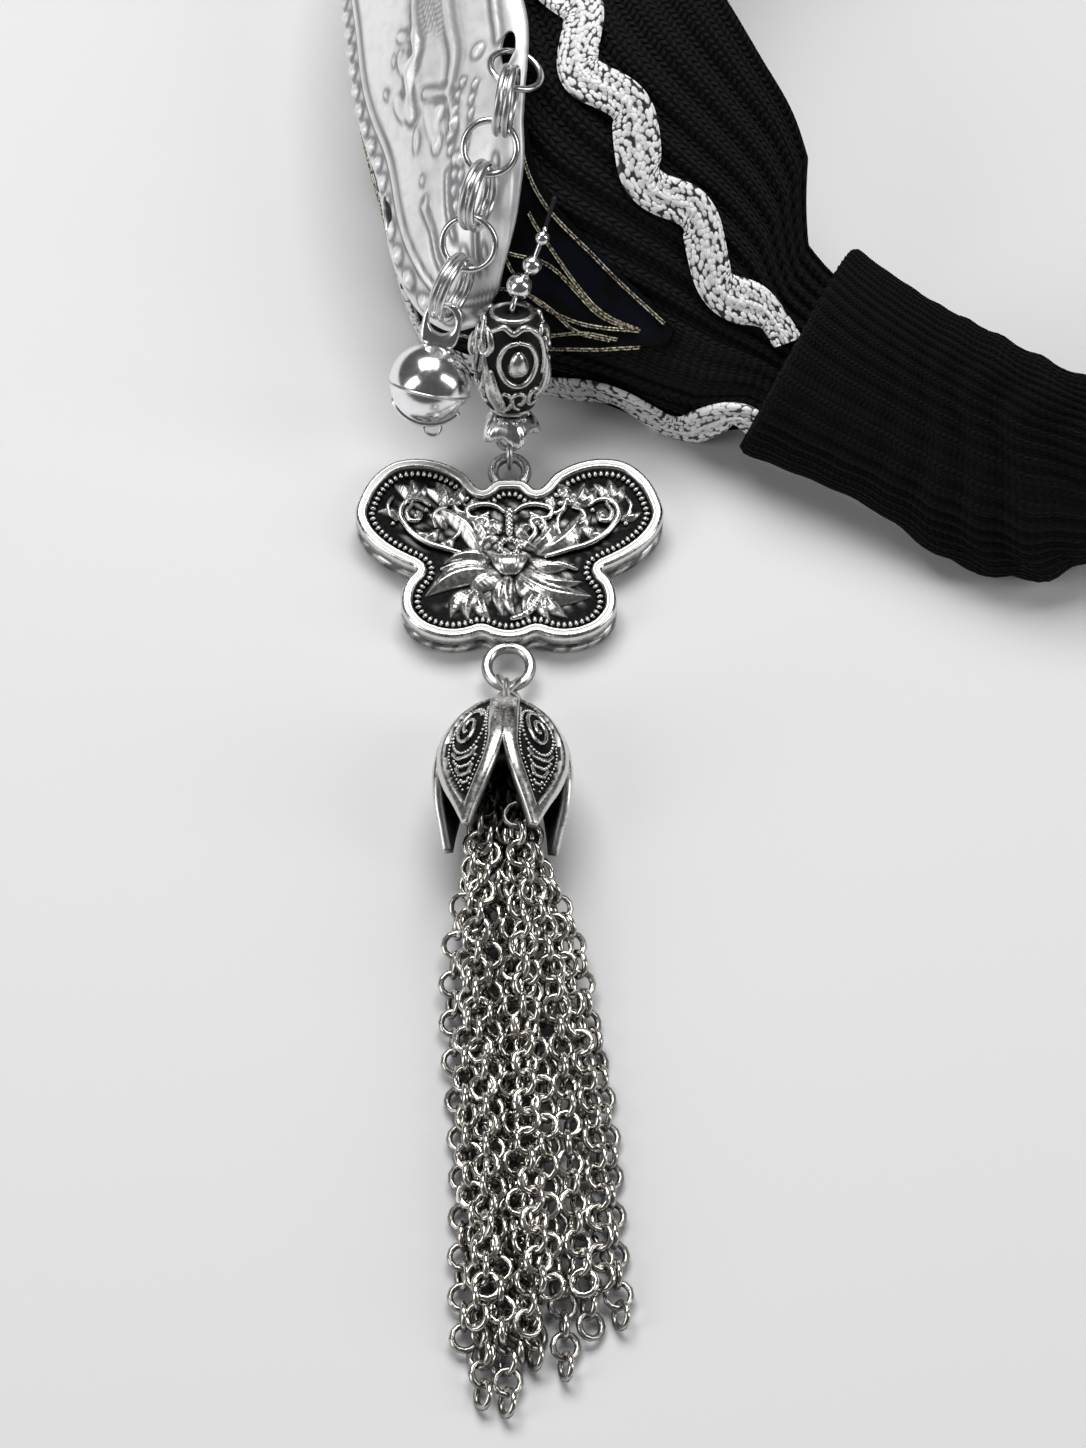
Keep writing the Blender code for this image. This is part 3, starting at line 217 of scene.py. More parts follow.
def band_table():
    """Points, normals and width of the face: the section at each bearing is a smooth line through hem,
    belly, shoulder and top, read at even shares of its length, and stands at its reach round the plan's
    centre."""
    hem, hem_up, belly, belly_up, shoulder, shoulder_up, top, top_up = read_rows(
        both_sides(BAND_SECTIONS), np.abs(TABLE_BEARINGS)).T
    hem_up = np.maximum(hem_up, 0)
    reach = np.stack([hem, hem, belly, shoulder, top], axis=1) * LOOP_RADIUS
    height = np.stack([hem_up, hem_up + HEM_HEIGHT / BAND_HEIGHT, belly_up, shoulder_up, top_up], axis=1)
    knots = np.stack([reach, height * BAND_HEIGHT], axis=2)
    run = run_along(knots)
    path = through(run, knots, run[:, -1:] * np.linspace(0, 1, 61))
    in_hem = path[..., 1] < knots[:, 1:2, 1]
    path[..., 0] = np.where(in_hem, knots[:, :1, 0], path[..., 0])
    length = run_along(path)
    shares = np.linspace(0, 1, TABLE_SHARES)
    section = np.stack([at_steps(row, run / run[-1], shares) for run, row in zip(length, path)])
    reach, height = section[..., 0], section[..., 1]
    side_turn = math.radians(FRONT_BEARING + SIDE_BEARING)
    centre = [SIDE_POINT[0] - SIDE_REACH * LOOP_RADIUS * math.cos(side_turn),
              SIDE_POINT[1] - SIDE_REACH * LOOP_RADIUS * math.sin(side_turn)]
    turn = np.radians(FRONT_BEARING + TABLE_BEARINGS)[:, None]
    points = np.stack([centre[0] + reach * np.cos(turn), centre[1] + reach * np.sin(turn), height], axis=2)
    wrapped = np.concatenate([points[-3:-1], points, points[1:3]])
    along = wrapped[3:-1] - wrapped[1:-3]
    place = np.arange(TABLE_SHARES)
    across = points[:, np.minimum(place + 2, TABLE_SHARES - 1)] - points[:, np.maximum(place - 2, 0)]
    return points, unit(np.cross(along, across)), length[:, -1]


FACE_POINTS, FACE_NORMALS, FACE_WIDTHS = band_table()


def on_band(bearing, share, lift=0.0):
    """Points on the face at bearings and shares, raised by lift along its normal."""
    bearing, share, lift = np.broadcast_arrays(np.asarray(bearing, float), share, lift)
    column = ((bearing + 180) % 360) / TABLE_STEP
    row = np.clip(share, 0, 1) * (TABLE_SHARES - 1)
    i = np.minimum(column.astype(int), len(TABLE_BEARINGS) - 2)
    j = np.minimum(row.astype(int), TABLE_SHARES - 2)
    s, t = (column - i)[..., None], (row - j)[..., None]

    def between(table):
        return ((1 - s) * ((1 - t) * table[i, j] + t * table[i, j + 1])
                + s * ((1 - t) * table[i + 1, j] + t * table[i + 1, j + 1]))

    return between(FACE_POINTS) + lift[..., None] * unit(between(FACE_NORMALS))


def width_at(bearing):
    """The band's width along its face."""
    return np.interp((np.asarray(bearing, float) + 180) % 360 - 180, TABLE_BEARINGS, FACE_WIDTHS)


def tucked(bearing, share):
    """The share drawn towards the middle where the band narrows to slip into the elastic back."""
    tuck = SLEEVE_TUCK * np.clip((np.abs(bearing) - TUCK_START) / (CUFF_START - TUCK_START), 0, 1)
    return tuck + (1 - 2 * tuck) * share


def standing(surface, *place, lift):
    """Points over a surface at a lift, and the directions in which they rise from it."""
    line = surface(*place, lift)
    return line, unit(surface(*place, lift + 1.0) - line)


def patch(points, loop=False, tone=1.0, cloth=None):
    """Rows of points for one closed surface. Each row closes on itself, loop closes the rows on each other,
    tone scales the colour from 0 in a dark hollow to 1 on a bright height: painted shade and highlight, and
    on the antique silver also its dark oxide; cloth is each point's flat place."""
    return dict(points=np.asarray(points, float), loop=loop, tone=tone, cloth=cloth)


def flat_places(along, across):
    """Flat places from a column of places along the cloth and a row of places across it."""
    return np.stack(np.broadcast_arrays(along, across), axis=2)


def quads(rows, columns, around, loop):
    """The corners of each face of a grid."""
    index = np.arange(rows * columns).reshape(rows, columns)
    if around:
        index = np.column_stack([index, index[:, 0]])
    if loop:
        index = np.vstack([index, index[:1]])
    return np.stack([index[:-1, :-1], index[:-1, 1:], index[1:, 1:], index[1:, :-1]], axis=-1).reshape(-1, 4)


def outward_order(points, faces):
    """The order in which a face's corners are read, turned round where the enclosed volume is negative."""
    corner = points[faces] - points.mean(axis=0)
    double = np.cross(corner[:, 1], corner[:, 2]) + np.cross(corner[:, 2], corner[:, 3])
    return slice(None, None, -1 if np.sum(corner[:, 0] * double) < 0 else 1)


def show(name, data):
    """An object in the scene."""
    made = bpy.data.objects.new(name, data)
    bpy.context.scene.collection.objects.link(made)
    return made


def add_object(name, corners, faces, tones, look, nodes, flats=(), poles=True):
    """One object in a look, which is a material and its slot, standing for the named nodes. With poles the
    points that fall together become one."""
    material, slot = look
    mesh = bpy.data.meshes.new(name)
    mesh.from_pydata(((corners + SHIFT) * MM).tolist(), [], faces.tolist())
    mesh.attributes.new("tone", "FLOAT", "POINT").data.foreach_set("value", tones.astype(np.float32))
    if flats:
        layer = mesh.uv_layers.new(name="cloth")
        layer.data.foreach_set("uv", np.concatenate(flats).ravel().astype(np.float32))
    if poles:
        work = bmesh.new()
        work.from_mesh(mesh)
        bmesh.ops.remove_doubles(work, verts=work.verts, dist=MERGE_DISTANCE)
        work.to_mesh(mesh)
        work.free()
    mesh.shade_smooth()
    mesh.materials.append(material)
    made = show(name, mesh)
    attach(made, "root")
    if nodes:
        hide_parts(*nodes)
    return made


def make(name, patches, look, nodes=(), poles=True):
    """One object from its patches, each with its faces outward."""
    corners, faces, tones, flats = [], [], [], []
    count = 0
    for piece in patches:
        rows, columns = piece["points"].shape[:2]
        flat = piece["points"].reshape(-1, 3)
        face = quads(rows, columns, True, piece["loop"])
        order = outward_order(flat, face)
        corners.append(flat)
        faces.append(face[:, order] + count)
        count += len(flat)
        tones.append(np.broadcast_to(piece["tone"], (rows, columns)).ravel())
        if piece["cloth"] is not None:
            cut = quads(rows + piece["loop"], columns + 1, False, False)
            flats.append(piece["cloth"].reshape(-1, 2)[cut[:, order]].reshape(-1, 2))
    corners, faces, tones = (np.concatenate(parts) for parts in (corners, faces, tones))
    return add_object(name, corners, faces, tones, look, nodes, flats, poles)


def make_cut(name, outer, inner, hole, tone, look, nodes, around=False):
    """A sheet from its two faces. The faces that touch a hole's points are left out, and a wall joins outer
    and inner along every open edge."""
    rows, columns = hole.shape
    face = quads(rows, columns, around, False)
    face = face[~hole.ravel()[face].any(axis=1)]
    below = rows * columns
    sides = np.concatenate([face[:, [i, (i + 1) % 4]] for i in range(4)])
    key = sides.min(axis=1) * below + sides.max(axis=1)
    _, first, count = np.unique(key, return_index=True, return_counts=True)
    start, end = sides[first[count == 1]].T
    wall = np.stack([end, start, start + below, end + below], axis=1)
    faces = np.concatenate([face, face[:, ::-1] + below, wall])
    used = np.unique(faces)
    corners = np.stack([outer, inner]).reshape(-1, 3)[used]
    faces = np.searchsorted(used, faces)
    faces = faces[:, outward_order(corners, faces)]
    # The inner face takes 0.7 of the tone: painted shade on the sheet's back.
    add_object(name, corners, faces, np.append(tone, 0.7 * tone)[used], look, nodes)


def swept(path, up, radius, sides=8, tall=1.0, loop=False, tone=1.0, lobes=0, lay=0.0):
    """A cord along a path. Each ring is radius times cos t across plus sin t up, and up is scaled by tall.
    With lobes the radius swells and sinks round the ring, turning by lay a millimetre, as strands twisted
    together."""
    path = np.asarray(path, float)
    ahead = np.roll(path, -1, axis=0) - np.roll(path, 1, axis=0) if loop else np.gradient(path, axis=0)
    across = unit(np.cross(ahead, np.broadcast_to(up, path.shape)))
    rise = unit(np.cross(across, ahead)) * tall
    turns = spin(sides)
    size = np.broadcast_to(np.asarray(radius, float), len(path))[:, None] * np.ones(sides)
    if lobes:
        size = size * (0.84 + 0.2 * np.abs(np.cos(lobes / 2 * (turns + lay * run_along(path)[:, None]))))
    rings = path[:, None] + size[..., None] * out_at(turns[:, None], across[:, None], rise[:, None])
    tone = np.broadcast_to(tone, len(path))
    if not loop:
        start, end = (np.repeat(point[None, None], sides, 1) for point in (path[0], path[-1]))
        rings = np.concatenate([start, rings, end])
        tone = np.pad(tone, 1, mode="edge")
    return patch(rings, loop, tone[:, None])


def hoop(centre, normal, radius, wire, around=48, sides=12, double=False):
    """A wire ring round its normal, or with double two turns side by side, as patches. The inner and outer
    side of the wire are painted in shade, darker than its two faces."""
    normal = unit(normal)
    circle = np.asarray(centre) + radius * out_at(spin(around)[:, None], *square_pair(normal))
    made = [swept(circle + normal * wire * step, normal, wire / 2, sides, loop=True)
            for step in ((-0.5, 0.5) if double else (0.0,))]
    # Painted shade on the wire's inner and outer sides, painted highlight on its faces.
    for piece in made:
        piece["tone"] = (1 - 0.8 * np.abs(np.cos(spin(sides))) ** 4)[None]
    return made


def dome(centre, radius, up=(0, 0, 1), tall=1.0, around=10, rings=5):
    """A round bead: half turns of latitude from foot to top, stretched by tall along up."""
    up = unit(up)
    rise = np.linspace(-math.pi / 2, math.pi / 2, rings + 2)[:, None, None]
    out = out_at(spin(around)[None, :, None], *square_pair(up, (0.31, 0.52, 0.8)))
    return patch(np.asarray(centre) + radius * out_at(rise, out, up * tall))


def turned(profile, foot, axis, around=48, tone=1.0):
    """A profile of radius and height carried round an axis."""
    radius, height = np.asarray(profile, float).T[:, :, None, None]
    axis = unit(axis)
    out = out_at(spin(around)[None, :, None], *square_pair(axis))
    tone = np.broadcast_to(tone, len(profile))[:, None]
    return patch(np.asarray(foot) + height * axis + radius * out, tone=tone)


def hollows(height, step):
    """How deep each place lies below the places round it, from 0 to 1, where a whole step deep is 1."""
    around = sum(np.roll(height, hand, axis) for axis in (0, 1) for hand in (1, -1)) / 4
    wide = sum(np.roll(around, hand, axis) for axis in (0, 1) for hand in (2, -2)) / 4
    return np.clip((wide - height) / step, 0, 1)


# Finishes. Their grain sizes are millimetres on the object.
def finish(name, colour, roughness, metallic=0.0, **sockets):
    """A material whose shader's sockets hold plain values."""
    material = bpy.data.materials.new(name)
    material.use_nodes = True
    values = {"Base Color": (*colour, 1), "Roughness": roughness, "Metallic": metallic, **sockets}
    for socket, value in values.items():
        material.node_tree.nodes["Principled BSDF"].inputs[socket].default_value = value
    return material


def node(tree, kind, inputs=None, **settings):
    """A shader node. Its inputs are linked to what other nodes work out, or hold plain values."""
    made = tree.nodes.new("ShaderNode" + kind)
    for key, value in settings.items():
        setattr(made, key, value)
    for socket, value in (inputs or {}).items():
        if isinstance(value, Worked):
            tree.links.new(value.output, made.inputs[socket])
        else:
            made.inputs[socket].default_value = value
    return made


class Worked:
    """What a node works out. Sums, products and powers of it are nodes too, so a formula reads as one."""

    def __init__(self, made, output=0):
        self.output = made.outputs[output]
        self.tree = made.id_data

    def calc(self, operation, other=0.0):
        """A sum, product or other Math node of this value and another one."""
        return Worked(node(self.tree, "Math", {0: self, 1: other}, operation=operation))

    def __add__(self, other):
        return self.calc("ADD", other)

    def __sub__(self, other):
        return self.calc("SUBTRACT", other)

    def __mul__(self, other):
        return self.calc("MULTIPLY", other)

    def __truediv__(self, other):
        return self.calc("DIVIDE", other)

    def __pow__(self, other):
        return self.calc("POWER", other)

    def spread(self, low, high, bottom=0.0, top=1.0):
        """Carried from between low and high to between bottom and top."""
        return Worked(node(self.tree, "MapRange", {0: self, 1: low, 2: high, 3: bottom, 4: top}))

    def colours(self, dark, bright):
        """The dark colour at 0, the bright one at 1."""
        return Worked(node(self.tree, "Mix", {0: self, 6: (*dark, 1), 7: (*bright, 1)}, data_type="RGBA"), 2)


def wire_up(material, **sockets):
    """Links the shader's sockets to what the nodes work out."""
    for socket, value in sockets.items():
        shader = material.node_tree.nodes["Principled BSDF"]
        material.node_tree.links.new(value.output, shader.inputs[socket.replace("_", " ")])


def relief(material, height, depth):
    """Bump by a height that stands depth millimetres high where it is 1."""
    bump = node(material.node_tree, "Bump", {"Height": height, "Distance": depth * MM, "Strength": 1.0})
    wire_up(material, Normal=Worked(bump))


def object_noise(material, size, detail=3.0):
    """Noise whose grains are size millimetres across on the object."""
    place = Worked(node(material.node_tree, "TexCoord"), "Object")
    inputs = {"Vector": place, "Scale": 1 / (size * MM), "Detail": detail}
    return Worked(node(material.node_tree, "TexNoise", inputs), "Fac")


def flat_place(material):
    """Place along and across on the cloth, in millimetres."""
    spots = Worked(node(material.node_tree, "UVMap", uv_map="cloth"))
    parts = node(material.node_tree, "SeparateXYZ", {0: spots})
    return Worked(parts, 0), Worked(parts, 1)


def tone_of(material):
    """The tone that patches give their points: painted shade and highlight, and on the antique silver also
    its dark oxide.
    """
    return Worked(node(material.node_tree, "Attribute", attribute_name="tone"), "Fac")


def black_knit(name, stitch, wale, depth, dark, bright, roughness):
    """V stitches with fluff: across a wale the two legs rise and fall as a sine, and the threads of each
    leg, sines a stitch long, lean by STITCH_SLANT of a stitch. The colour is painted shade, darker where the
    stitch height is low, times the fluff."""
    material = finish(name, bright, roughness, **{"Sheen Weight": 0.02, "Sheen Roughness": 0.5,
                                                  "Specular IOR Level": 0.14})
    along, across = flat_place(material)
    leg = ((across / wale).calc("FRACT") - 0.5).calc("ABSOLUTE") * 2.0
    thread = ((along / stitch + leg * STITCH_SLANT) * math.pi).calc("SINE").calc("ABSOLUTE") ** 0.7
    height = thread * (leg * math.pi).calc("SINE") ** 0.6
    fluff = object_noise(material, 0.25, 2.0)
    # Painted shade: the colour follows the stitch height, dark between the threads, times random fluff.
    wire_up(material, Base_Color=(height * fluff.spread(0.3, 0.7, 0.6, 1.1)).colours(dark, bright))
    relief(material, height + fluff * 0.35, depth)
    return material


def navy_satin():
    """Black satin with rows of fine floss; navy patches here and there are painted sheen."""
    material = finish("navy_satin", (0.01, 0.012, 0.02), 0.5, **{"Specular IOR Level": 0.1})
    along, across = flat_place(material)
    floss = ((across + along * 0.35) * 12.0).calc("SINE").calc("ABSOLUTE")
    # Painted sheen: noise paints navy patches over the black satin.
    painted_sheen = object_noise(material, 7.0, 2.0).spread(0.52, 0.6)
    wire_up(material, Base_Color=painted_sheen.colours((0.0015, 0.0015, 0.002), (0.003, 0.0045, 0.011)))
    relief(material, floss, 0.08)
    return material


def gold_thread():
    """Metal thread with painted glints: bright in short lengths over dark."""
    material = finish("gold_thread", (0.7, 0.6, 0.4), 0.34, 0.8)
    # Painted glints: noise paints short bright lengths over dark thread.
    painted_glint = object_noise(material, 0.32).spread(0.42, 0.6)
    wire_up(material, Base_Color=painted_glint.colours((0.09, 0.07, 0.035), (1.0, 0.93, 0.72)))
    return material


def metal(name, dark, bright, roughness, grain=0.6, dull=0.12, scratch=0.015, metallic=1.0):
    """Cast or pressed metal: dark where its tone is low, bright where it is high, so that it carries the
    tone's painted shade and highlight, with fine handling marks."""
    material = finish(name, bright, roughness, metallic)
    tone = tone_of(material)
    marks = object_noise(material, grain, 4.0)
    rough = tone.spread(0.0, 1.0, roughness + 0.25, roughness) + marks.spread(0.35, 0.7, 0.0, dull)
    # The base colour is the tone's painted shade and highlight times the real handling marks.
    marks_and_painted_shade = tone * marks.spread(0.3, 0.7, 0.85, 1.1)
    wire_up(material, Base_Color=marks_and_painted_shade.colours(dark, bright), Roughness=rough)
    relief(material, marks, scratch)
    return material


def tinsel():
    """Silver tinsel: flat wire wound round thread. Each grain stands up bright in its own measure, the gaps
    between grains are dark, and a smoother cord runs down the middle."""
    material = finish("silver_tinsel", (0.9, 0.9, 0.92), 0.35, 0.05)
    along, across = flat_place(material)
    place = Worked(node(material.node_tree, "CombineXYZ", {0: along, 1: across}))
    grains = node(material.node_tree, "TexVoronoi", {"Vector": place, "Scale": 1 / TINSEL_GRAIN},
                  voronoi_dimensions="2D")
    distance = Worked(grains, "Distance")
    colour = node(material.node_tree, "SeparateXYZ", {0: Worked(grains, "Color")})
    sparkle = Worked(colour).spread(0.0, 1.0, 0.85, 1.0)
    cord = across.calc("ABSOLUTE").spread(0.28, 0.46, 0.9, 0.0)
    top = distance.spread(0.46, 0.62, 1.0, 0.0).calc("MAXIMUM", cord)
    # The patch tone brings the braid's painted shade, in its grooves and on its underside, into the colour.
    bright = tone_of(material) * sparkle * top
    wire_up(material, Base_Color=bright.colours((0.03, 0.03, 0.032), (1.0, 1.0, 1.0)))
    relief(material, distance.spread(0.3, 0.7, 1.0, 0.0), 0.12)
    return material


STITCH = 1.3
WALE = 1.63
STITCH_SLANT = 0.55
CUFF_STITCH = 0.9
CUFF_RIB_PITCH = 0.95
TINSEL_GRAIN = 0.58
# Each look is a material and the record's slot that it belongs to.
KNIT = (black_knit("black_rib_knit", STITCH, WALE, depth=0.45, dark=(0.0012, 0.0012, 0.0012),
                   bright=(0.0095, 0.0095, 0.01), roughness=0.72), "black_rib_knit")
ELASTIC = (black_knit("black_elastic", CUFF_STITCH, CUFF_RIB_PITCH, depth=0.3, dark=(0.0008, 0.0008, 0.0009),
                      bright=(0.0035, 0.0036, 0.004), roughness=0.85), "black_elastic")
SATIN = (navy_satin(), "navy_satin")
GOLD = (gold_thread(), "silver_tinsel")
SILVER = (metal("bright_silver", (0.3, 0.3, 0.31), (0.93, 0.93, 0.94), 0.16, dull=0.06, scratch=0.004),
          "bright_silver")
PLATE = (metal("pressed_silver", (0.3, 0.3, 0.31), (0.97, 0.97, 0.975), 0.38, 1.5, 0.06, 0.004, 0.45),
         "bright_silver")
ANTIQUE = (metal("antique_silver", (0.006, 0.006, 0.006), (0.74, 0.73, 0.71), 0.2, dull=0.14, scratch=0.012),
           "antique_silver")
NICKEL = (metal("nickel_chain", (0.015, 0.013, 0.011), (0.86, 0.82, 0.76), 0.15, dull=0.06), "nickel_chain")
TINSEL = (tinsel(), "silver_tinsel")
THREAD = (finish("black_thread", (0.006, 0.006, 0.006), 0.7), "black_rib_knit")

# Knit band: three wales to a rib, two raised and one sunk. Its stitches are shapes from FINE_START on,
# where the camera comes close.
RIB_HEIGHT = 1.0
STITCH_HEIGHT = 0.3
KNIT_WIDTH = 72.0
FINE_START = 48.0
FLOOR_GAP = 0.02


def knit_band():
    """Rows run round the head and columns from the hem over the face and back down inside. The face's
    height is a rib wave across it plus V stitches where the camera comes close, and the two ends close
    between the walls."""
    bearing = np.append(np.linspace(-BAND_END, FINE_START, 100)[:-1], np.linspace(FINE_START, BAND_END, 265))
    outer = np.concatenate([np.linspace(0, 0.215, 50), np.linspace(0.25, 0.36, 4), np.linspace(0.40, 1, 130)])
    share = np.append(outer, np.linspace(1, 0, 28))[None]
    bearing = bearing[:, None]
    face = np.arange(share.size)[None] < len(outer)
    across = share * KNIT_WIDTH
    along = np.radians(bearing) * LOOP_RADIUS
    rib = np.tanh(1.6 * np.cos(TURN * (across / WALE / 3 + 0.12)))
    leg = np.abs((across / WALE) % 1 - 0.5) * 2
    slanted = np.abs(np.sin(math.pi * (along / STITCH + STITCH_SLANT * leg)))
    thread = slanted ** 0.7 * np.sin(math.pi * leg) ** 0.6
    close = ease((bearing - FINE_START) / 3)
    puff = RIB_HEIGHT * (0.5 * rib - 0.35) + STITCH_HEIGHT * close * thread
    edge = ease(share / 0.012) * ease((1 - share) / 0.02)
    lift = np.where(face, puff * edge, -BAND_WALL * np.sqrt(edge) - 0.3 * rib * edge)
    lift = np.where(np.abs(bearing) > BAND_END - 0.3, -BAND_WALL / 2, lift)
    points = on_band(bearing, tucked(bearing, share), lift)
    points[..., 2] = np.maximum(points[..., 2], FLOOR_GAP)
    cloth = flat_places(along, np.append(share[0], -0.02)[None] * KNIT_WIDTH)
    piece = make("rib_knit", [patch(points, cloth=cloth)], KNIT, ["knit_band"], poles=False)


PANEL_WIDTH = 33.0


def satin_panel():
    """The panel from seam to seam: a slab whose face falls to the band at both seams like a stuffed edge,
    as the root of 1 less a tenth power, with a shallow pucker."""
    bearing = np.linspace(-PANEL_END, PANEL_END, 300)[:, None]
    low, high = edges_at(SEAM_SECTIONS, bearing)
    part = np.append(np.linspace(0, 1, 40), np.linspace(1, 0, 12))[None]
    face = np.arange(part.size)[None] < 40
    fall = (1 - np.abs(2 * part - 1) ** 10) ** 0.5
    pucker = 0.09 * np.sin(bearing * 1.9 + 3 * part) * np.sin(math.pi * part)
    lift = np.where(face, PANEL_GAP + (PANEL_WALL + pucker) * fall, PANEL_GAP)
    points = on_band(bearing, low + part * (high - low), lift)
    cloth = flat_places(np.radians(bearing) * LOOP_RADIUS, np.append(part[0], 0.0)[None] * PANEL_WIDTH)
    piece = make("satin_panel", [patch(points, cloth=cloth)], SATIN, ["embroidered_panel"], poles=False)


# Couched gold lines on the panel: bearing and part of the way from the lower seam to the upper one.
GOLD_LINES = (
    ((-93, 0.96), (-70, 0.97), (-40, 0.96), (0, 0.96), (40, 0.96), (66, 0.97), (80, 0.96), (88, 0.95),
     (94, 0.9)),
    ((-93, 0.05), (-60, 0.04), (0, 0.05), (60, 0.04), (93, 0.05)),
    ((80.2, 0.86), (83, 0.80), (86.5, 0.66), (89.5, 0.52), (92.2, 0.46)),
    ((80.6, 0.62), (83.5, 0.70), (86.5, 0.62), (89.0, 0.50), (92.0, 0.44)),
    ((80.6, 0.60), (84.0, 0.44), (87.5, 0.36), (90.5, 0.38), (92.4, 0.44)),
    ((80.4, 0.38), (83.0, 0.46), (85.5, 0.40), (87.5, 0.28), (90.5, 0.20)),
    ((80.2, 0.20), (83.0, 0.14), (86.0, 0.18), (88.5, 0.26), (91.0, 0.22)),
)
THREAD_RADIUS = 0.11
THREAD_STEP = 0.17
BORDER_POINTS = 700
SPRAY_POINTS = 60


def couched_gold():
    """Pairs of twisted threads that follow each line, side by side, standing on the satin. A line that
    starts on one side of the front is repeated on the other."""
    threads = []
    for line in GOLD_LINES:
        path = smooth_path(line, SPRAY_POINTS if len(line) < 8 else BORDER_POINTS)
        for hand in (1, -1) if line[0][0] > 0 else (1,):
            bearing = path[:, 0] * hand
            low, high = edges_at(SEAM_SECTIONS, bearing)
            for step in (-THREAD_STEP, THREAD_STEP):
                share = low + path[:, 1] * (high - low) + step / width_at(bearing)
                route, up = standing(on_band, bearing, share, lift=PANEL_GAP + PANEL_WALL + 0.12)
                threads.append(swept(route, up, THREAD_RADIUS, 6, lobes=2, lay=2.2))
    make("couched_gold", threads, GOLD)


# Ric-rac braids
RICRAC_WIDTH = 5.6
RICRAC_THICKNESS = 1.0
RICRAC_WAVE = 15.0
RICRAC_SWING = 1.7
RICRAC_END = 105.5
UPPER_MIDDLE = ((0, 50, 60, 67, 77, 84, 92, 99, 104), (0.87, 0.86, 0.81, 0.765, 0.74, 0.70, 0.62, 0.57, 0.57))
LOWER_MIDDLE = ((0, 80, 86, 93, 98, 104), (0.085, 0.06, 0.065, 0.075, 0.085, 0.09))


def ricrac(name, middle, replaced):
    """A waved braid. Its middle swings as a sine along the band and its width stays square to the wave. A
    thicker thread runs down its middle between two shallow grooves."""
    bearing = np.linspace(-RICRAC_END, RICRAC_END, 800)[:, None]
    reach = 0.9 * LOOP_RADIUS
    side = np.append(np.linspace(-0.5, 0.5, 21), np.linspace(0.5, -0.5, 5))[None]
    face = np.arange(side.size)[None] < 21
    run = np.radians(bearing) * reach
    wave = TURN * run / RICRAC_WAVE
    lean = np.arctan(RICRAC_SWING * TURN / RICRAC_WAVE * np.cos(wave))
    across = side * RICRAC_WIDTH
    groove = np.exp(-((np.abs(across) - 0.9) / 0.35) ** 2)
    height = 0.72 * RICRAC_THICKNESS + 0.2 * np.exp(-(across / 0.45) ** 2) - 0.15 * groove
    lift = BRAID_GAP + np.where(face, (1 - np.abs(2 * side) ** 6) ** 0.5 * height, 0.0)
    share = np.interp(np.abs(bearing), *middle)
    share = tucked(bearing, share + (RICRAC_SWING * np.sin(wave) + across * np.cos(lean)) / width_at(bearing))
    points = on_band(bearing - np.degrees(across * np.sin(lean) / reach), share, lift)
    cloth = flat_places(run, np.append(across[0], across[0, 0])[None])
    # The tone paints shade in the two grooves and on the braid's underside.
    braid = patch(points, tone=np.where(face, 1.0 - 0.2 * groove, 0.7), cloth=cloth)
    make(name, [braid], TINSEL, [replaced], poles=False)


# Elastic back: ribs round it, points to a rib and length of a gather.
CUFF_RIBS = 54
CUFF_FACETS = 5
GATHER = 6.5


def elastic_back():
    """A closed sleeve round the band's line: at each bearing a squarish oval as high as the band and as
    thick as the cuff, with fine ribs round it and gathers along it that deepen away from the mouth."""
    start, end = CUFF_ROWS[0][0], CUFF_ROWS[-1][0]
    bearing = np.linspace(start, end, 230)[:, None]
    turn = spin(CUFF_RIBS * CUFF_FACETS)[None]
    run = np.radians(bearing) * LOOP_RADIUS
    inside = np.minimum(bearing - start, end - bearing)
    rib = 0.28 * np.cos(CUFF_RIBS * turn)
    depth = 0.1 + 0.5 * ease((inside - 8) / 22)
    gather = depth * np.sin(TURN * run / GATHER + 1.2 * np.sin(3 * turn + run / 9) + 0.6 * np.sin(7 * turn))
    puff = rib + gather * np.abs(np.sin(turn)) ** 0.3 - 0.7 * (1 - ease(inside / 0.8)) - 0.3
    back = np.linspace(end - 0.3, start + 0.3, 24)[:, None]
    shell = np.concatenate([sleeve(bearing, turn, puff), sleeve(back, turn, -1.6)])
    shell[..., 2] = np.maximum(shell[..., 2], FLOOR_GAP)
    around = np.append(turn[0], TURN)[None] / TURN * CUFF_RIB_PITCH * CUFF_RIBS * 2
    cloth = flat_places(np.concatenate([run, np.radians(back) * LOOP_RADIUS, run[:1]]), around)
    shell = patch(shell, loop=True, cloth=cloth)
    piece = make("elastic_back", [shell], ELASTIC, ["elastic_cuff"], poles=False)


def sleeve(bearing, turn, puff):
    """A squarish oval at each bearing, grown by puff on its faces and along its two edges."""
    lean, thick = read_rows(CUFF_ROWS, bearing[:, 0]).T[:, :, None]
    share = 0.5 - 0.5 * squared_off(np.cos(turn), CUFF_SQUARENESS)
    stand = -BAND_WALL / 2 + (thick * CUFF_THICKNESS / 2 + puff) * np.sin(turn)
    face = on_band(bearing + lean * share, share, stand)
    middle = on_band(bearing + lean * 0.5, 0.5, -BAND_WALL / 2)
    return middle + (face - middle) * (1 + puff * np.abs(np.cos(turn)) / 22)[..., None]


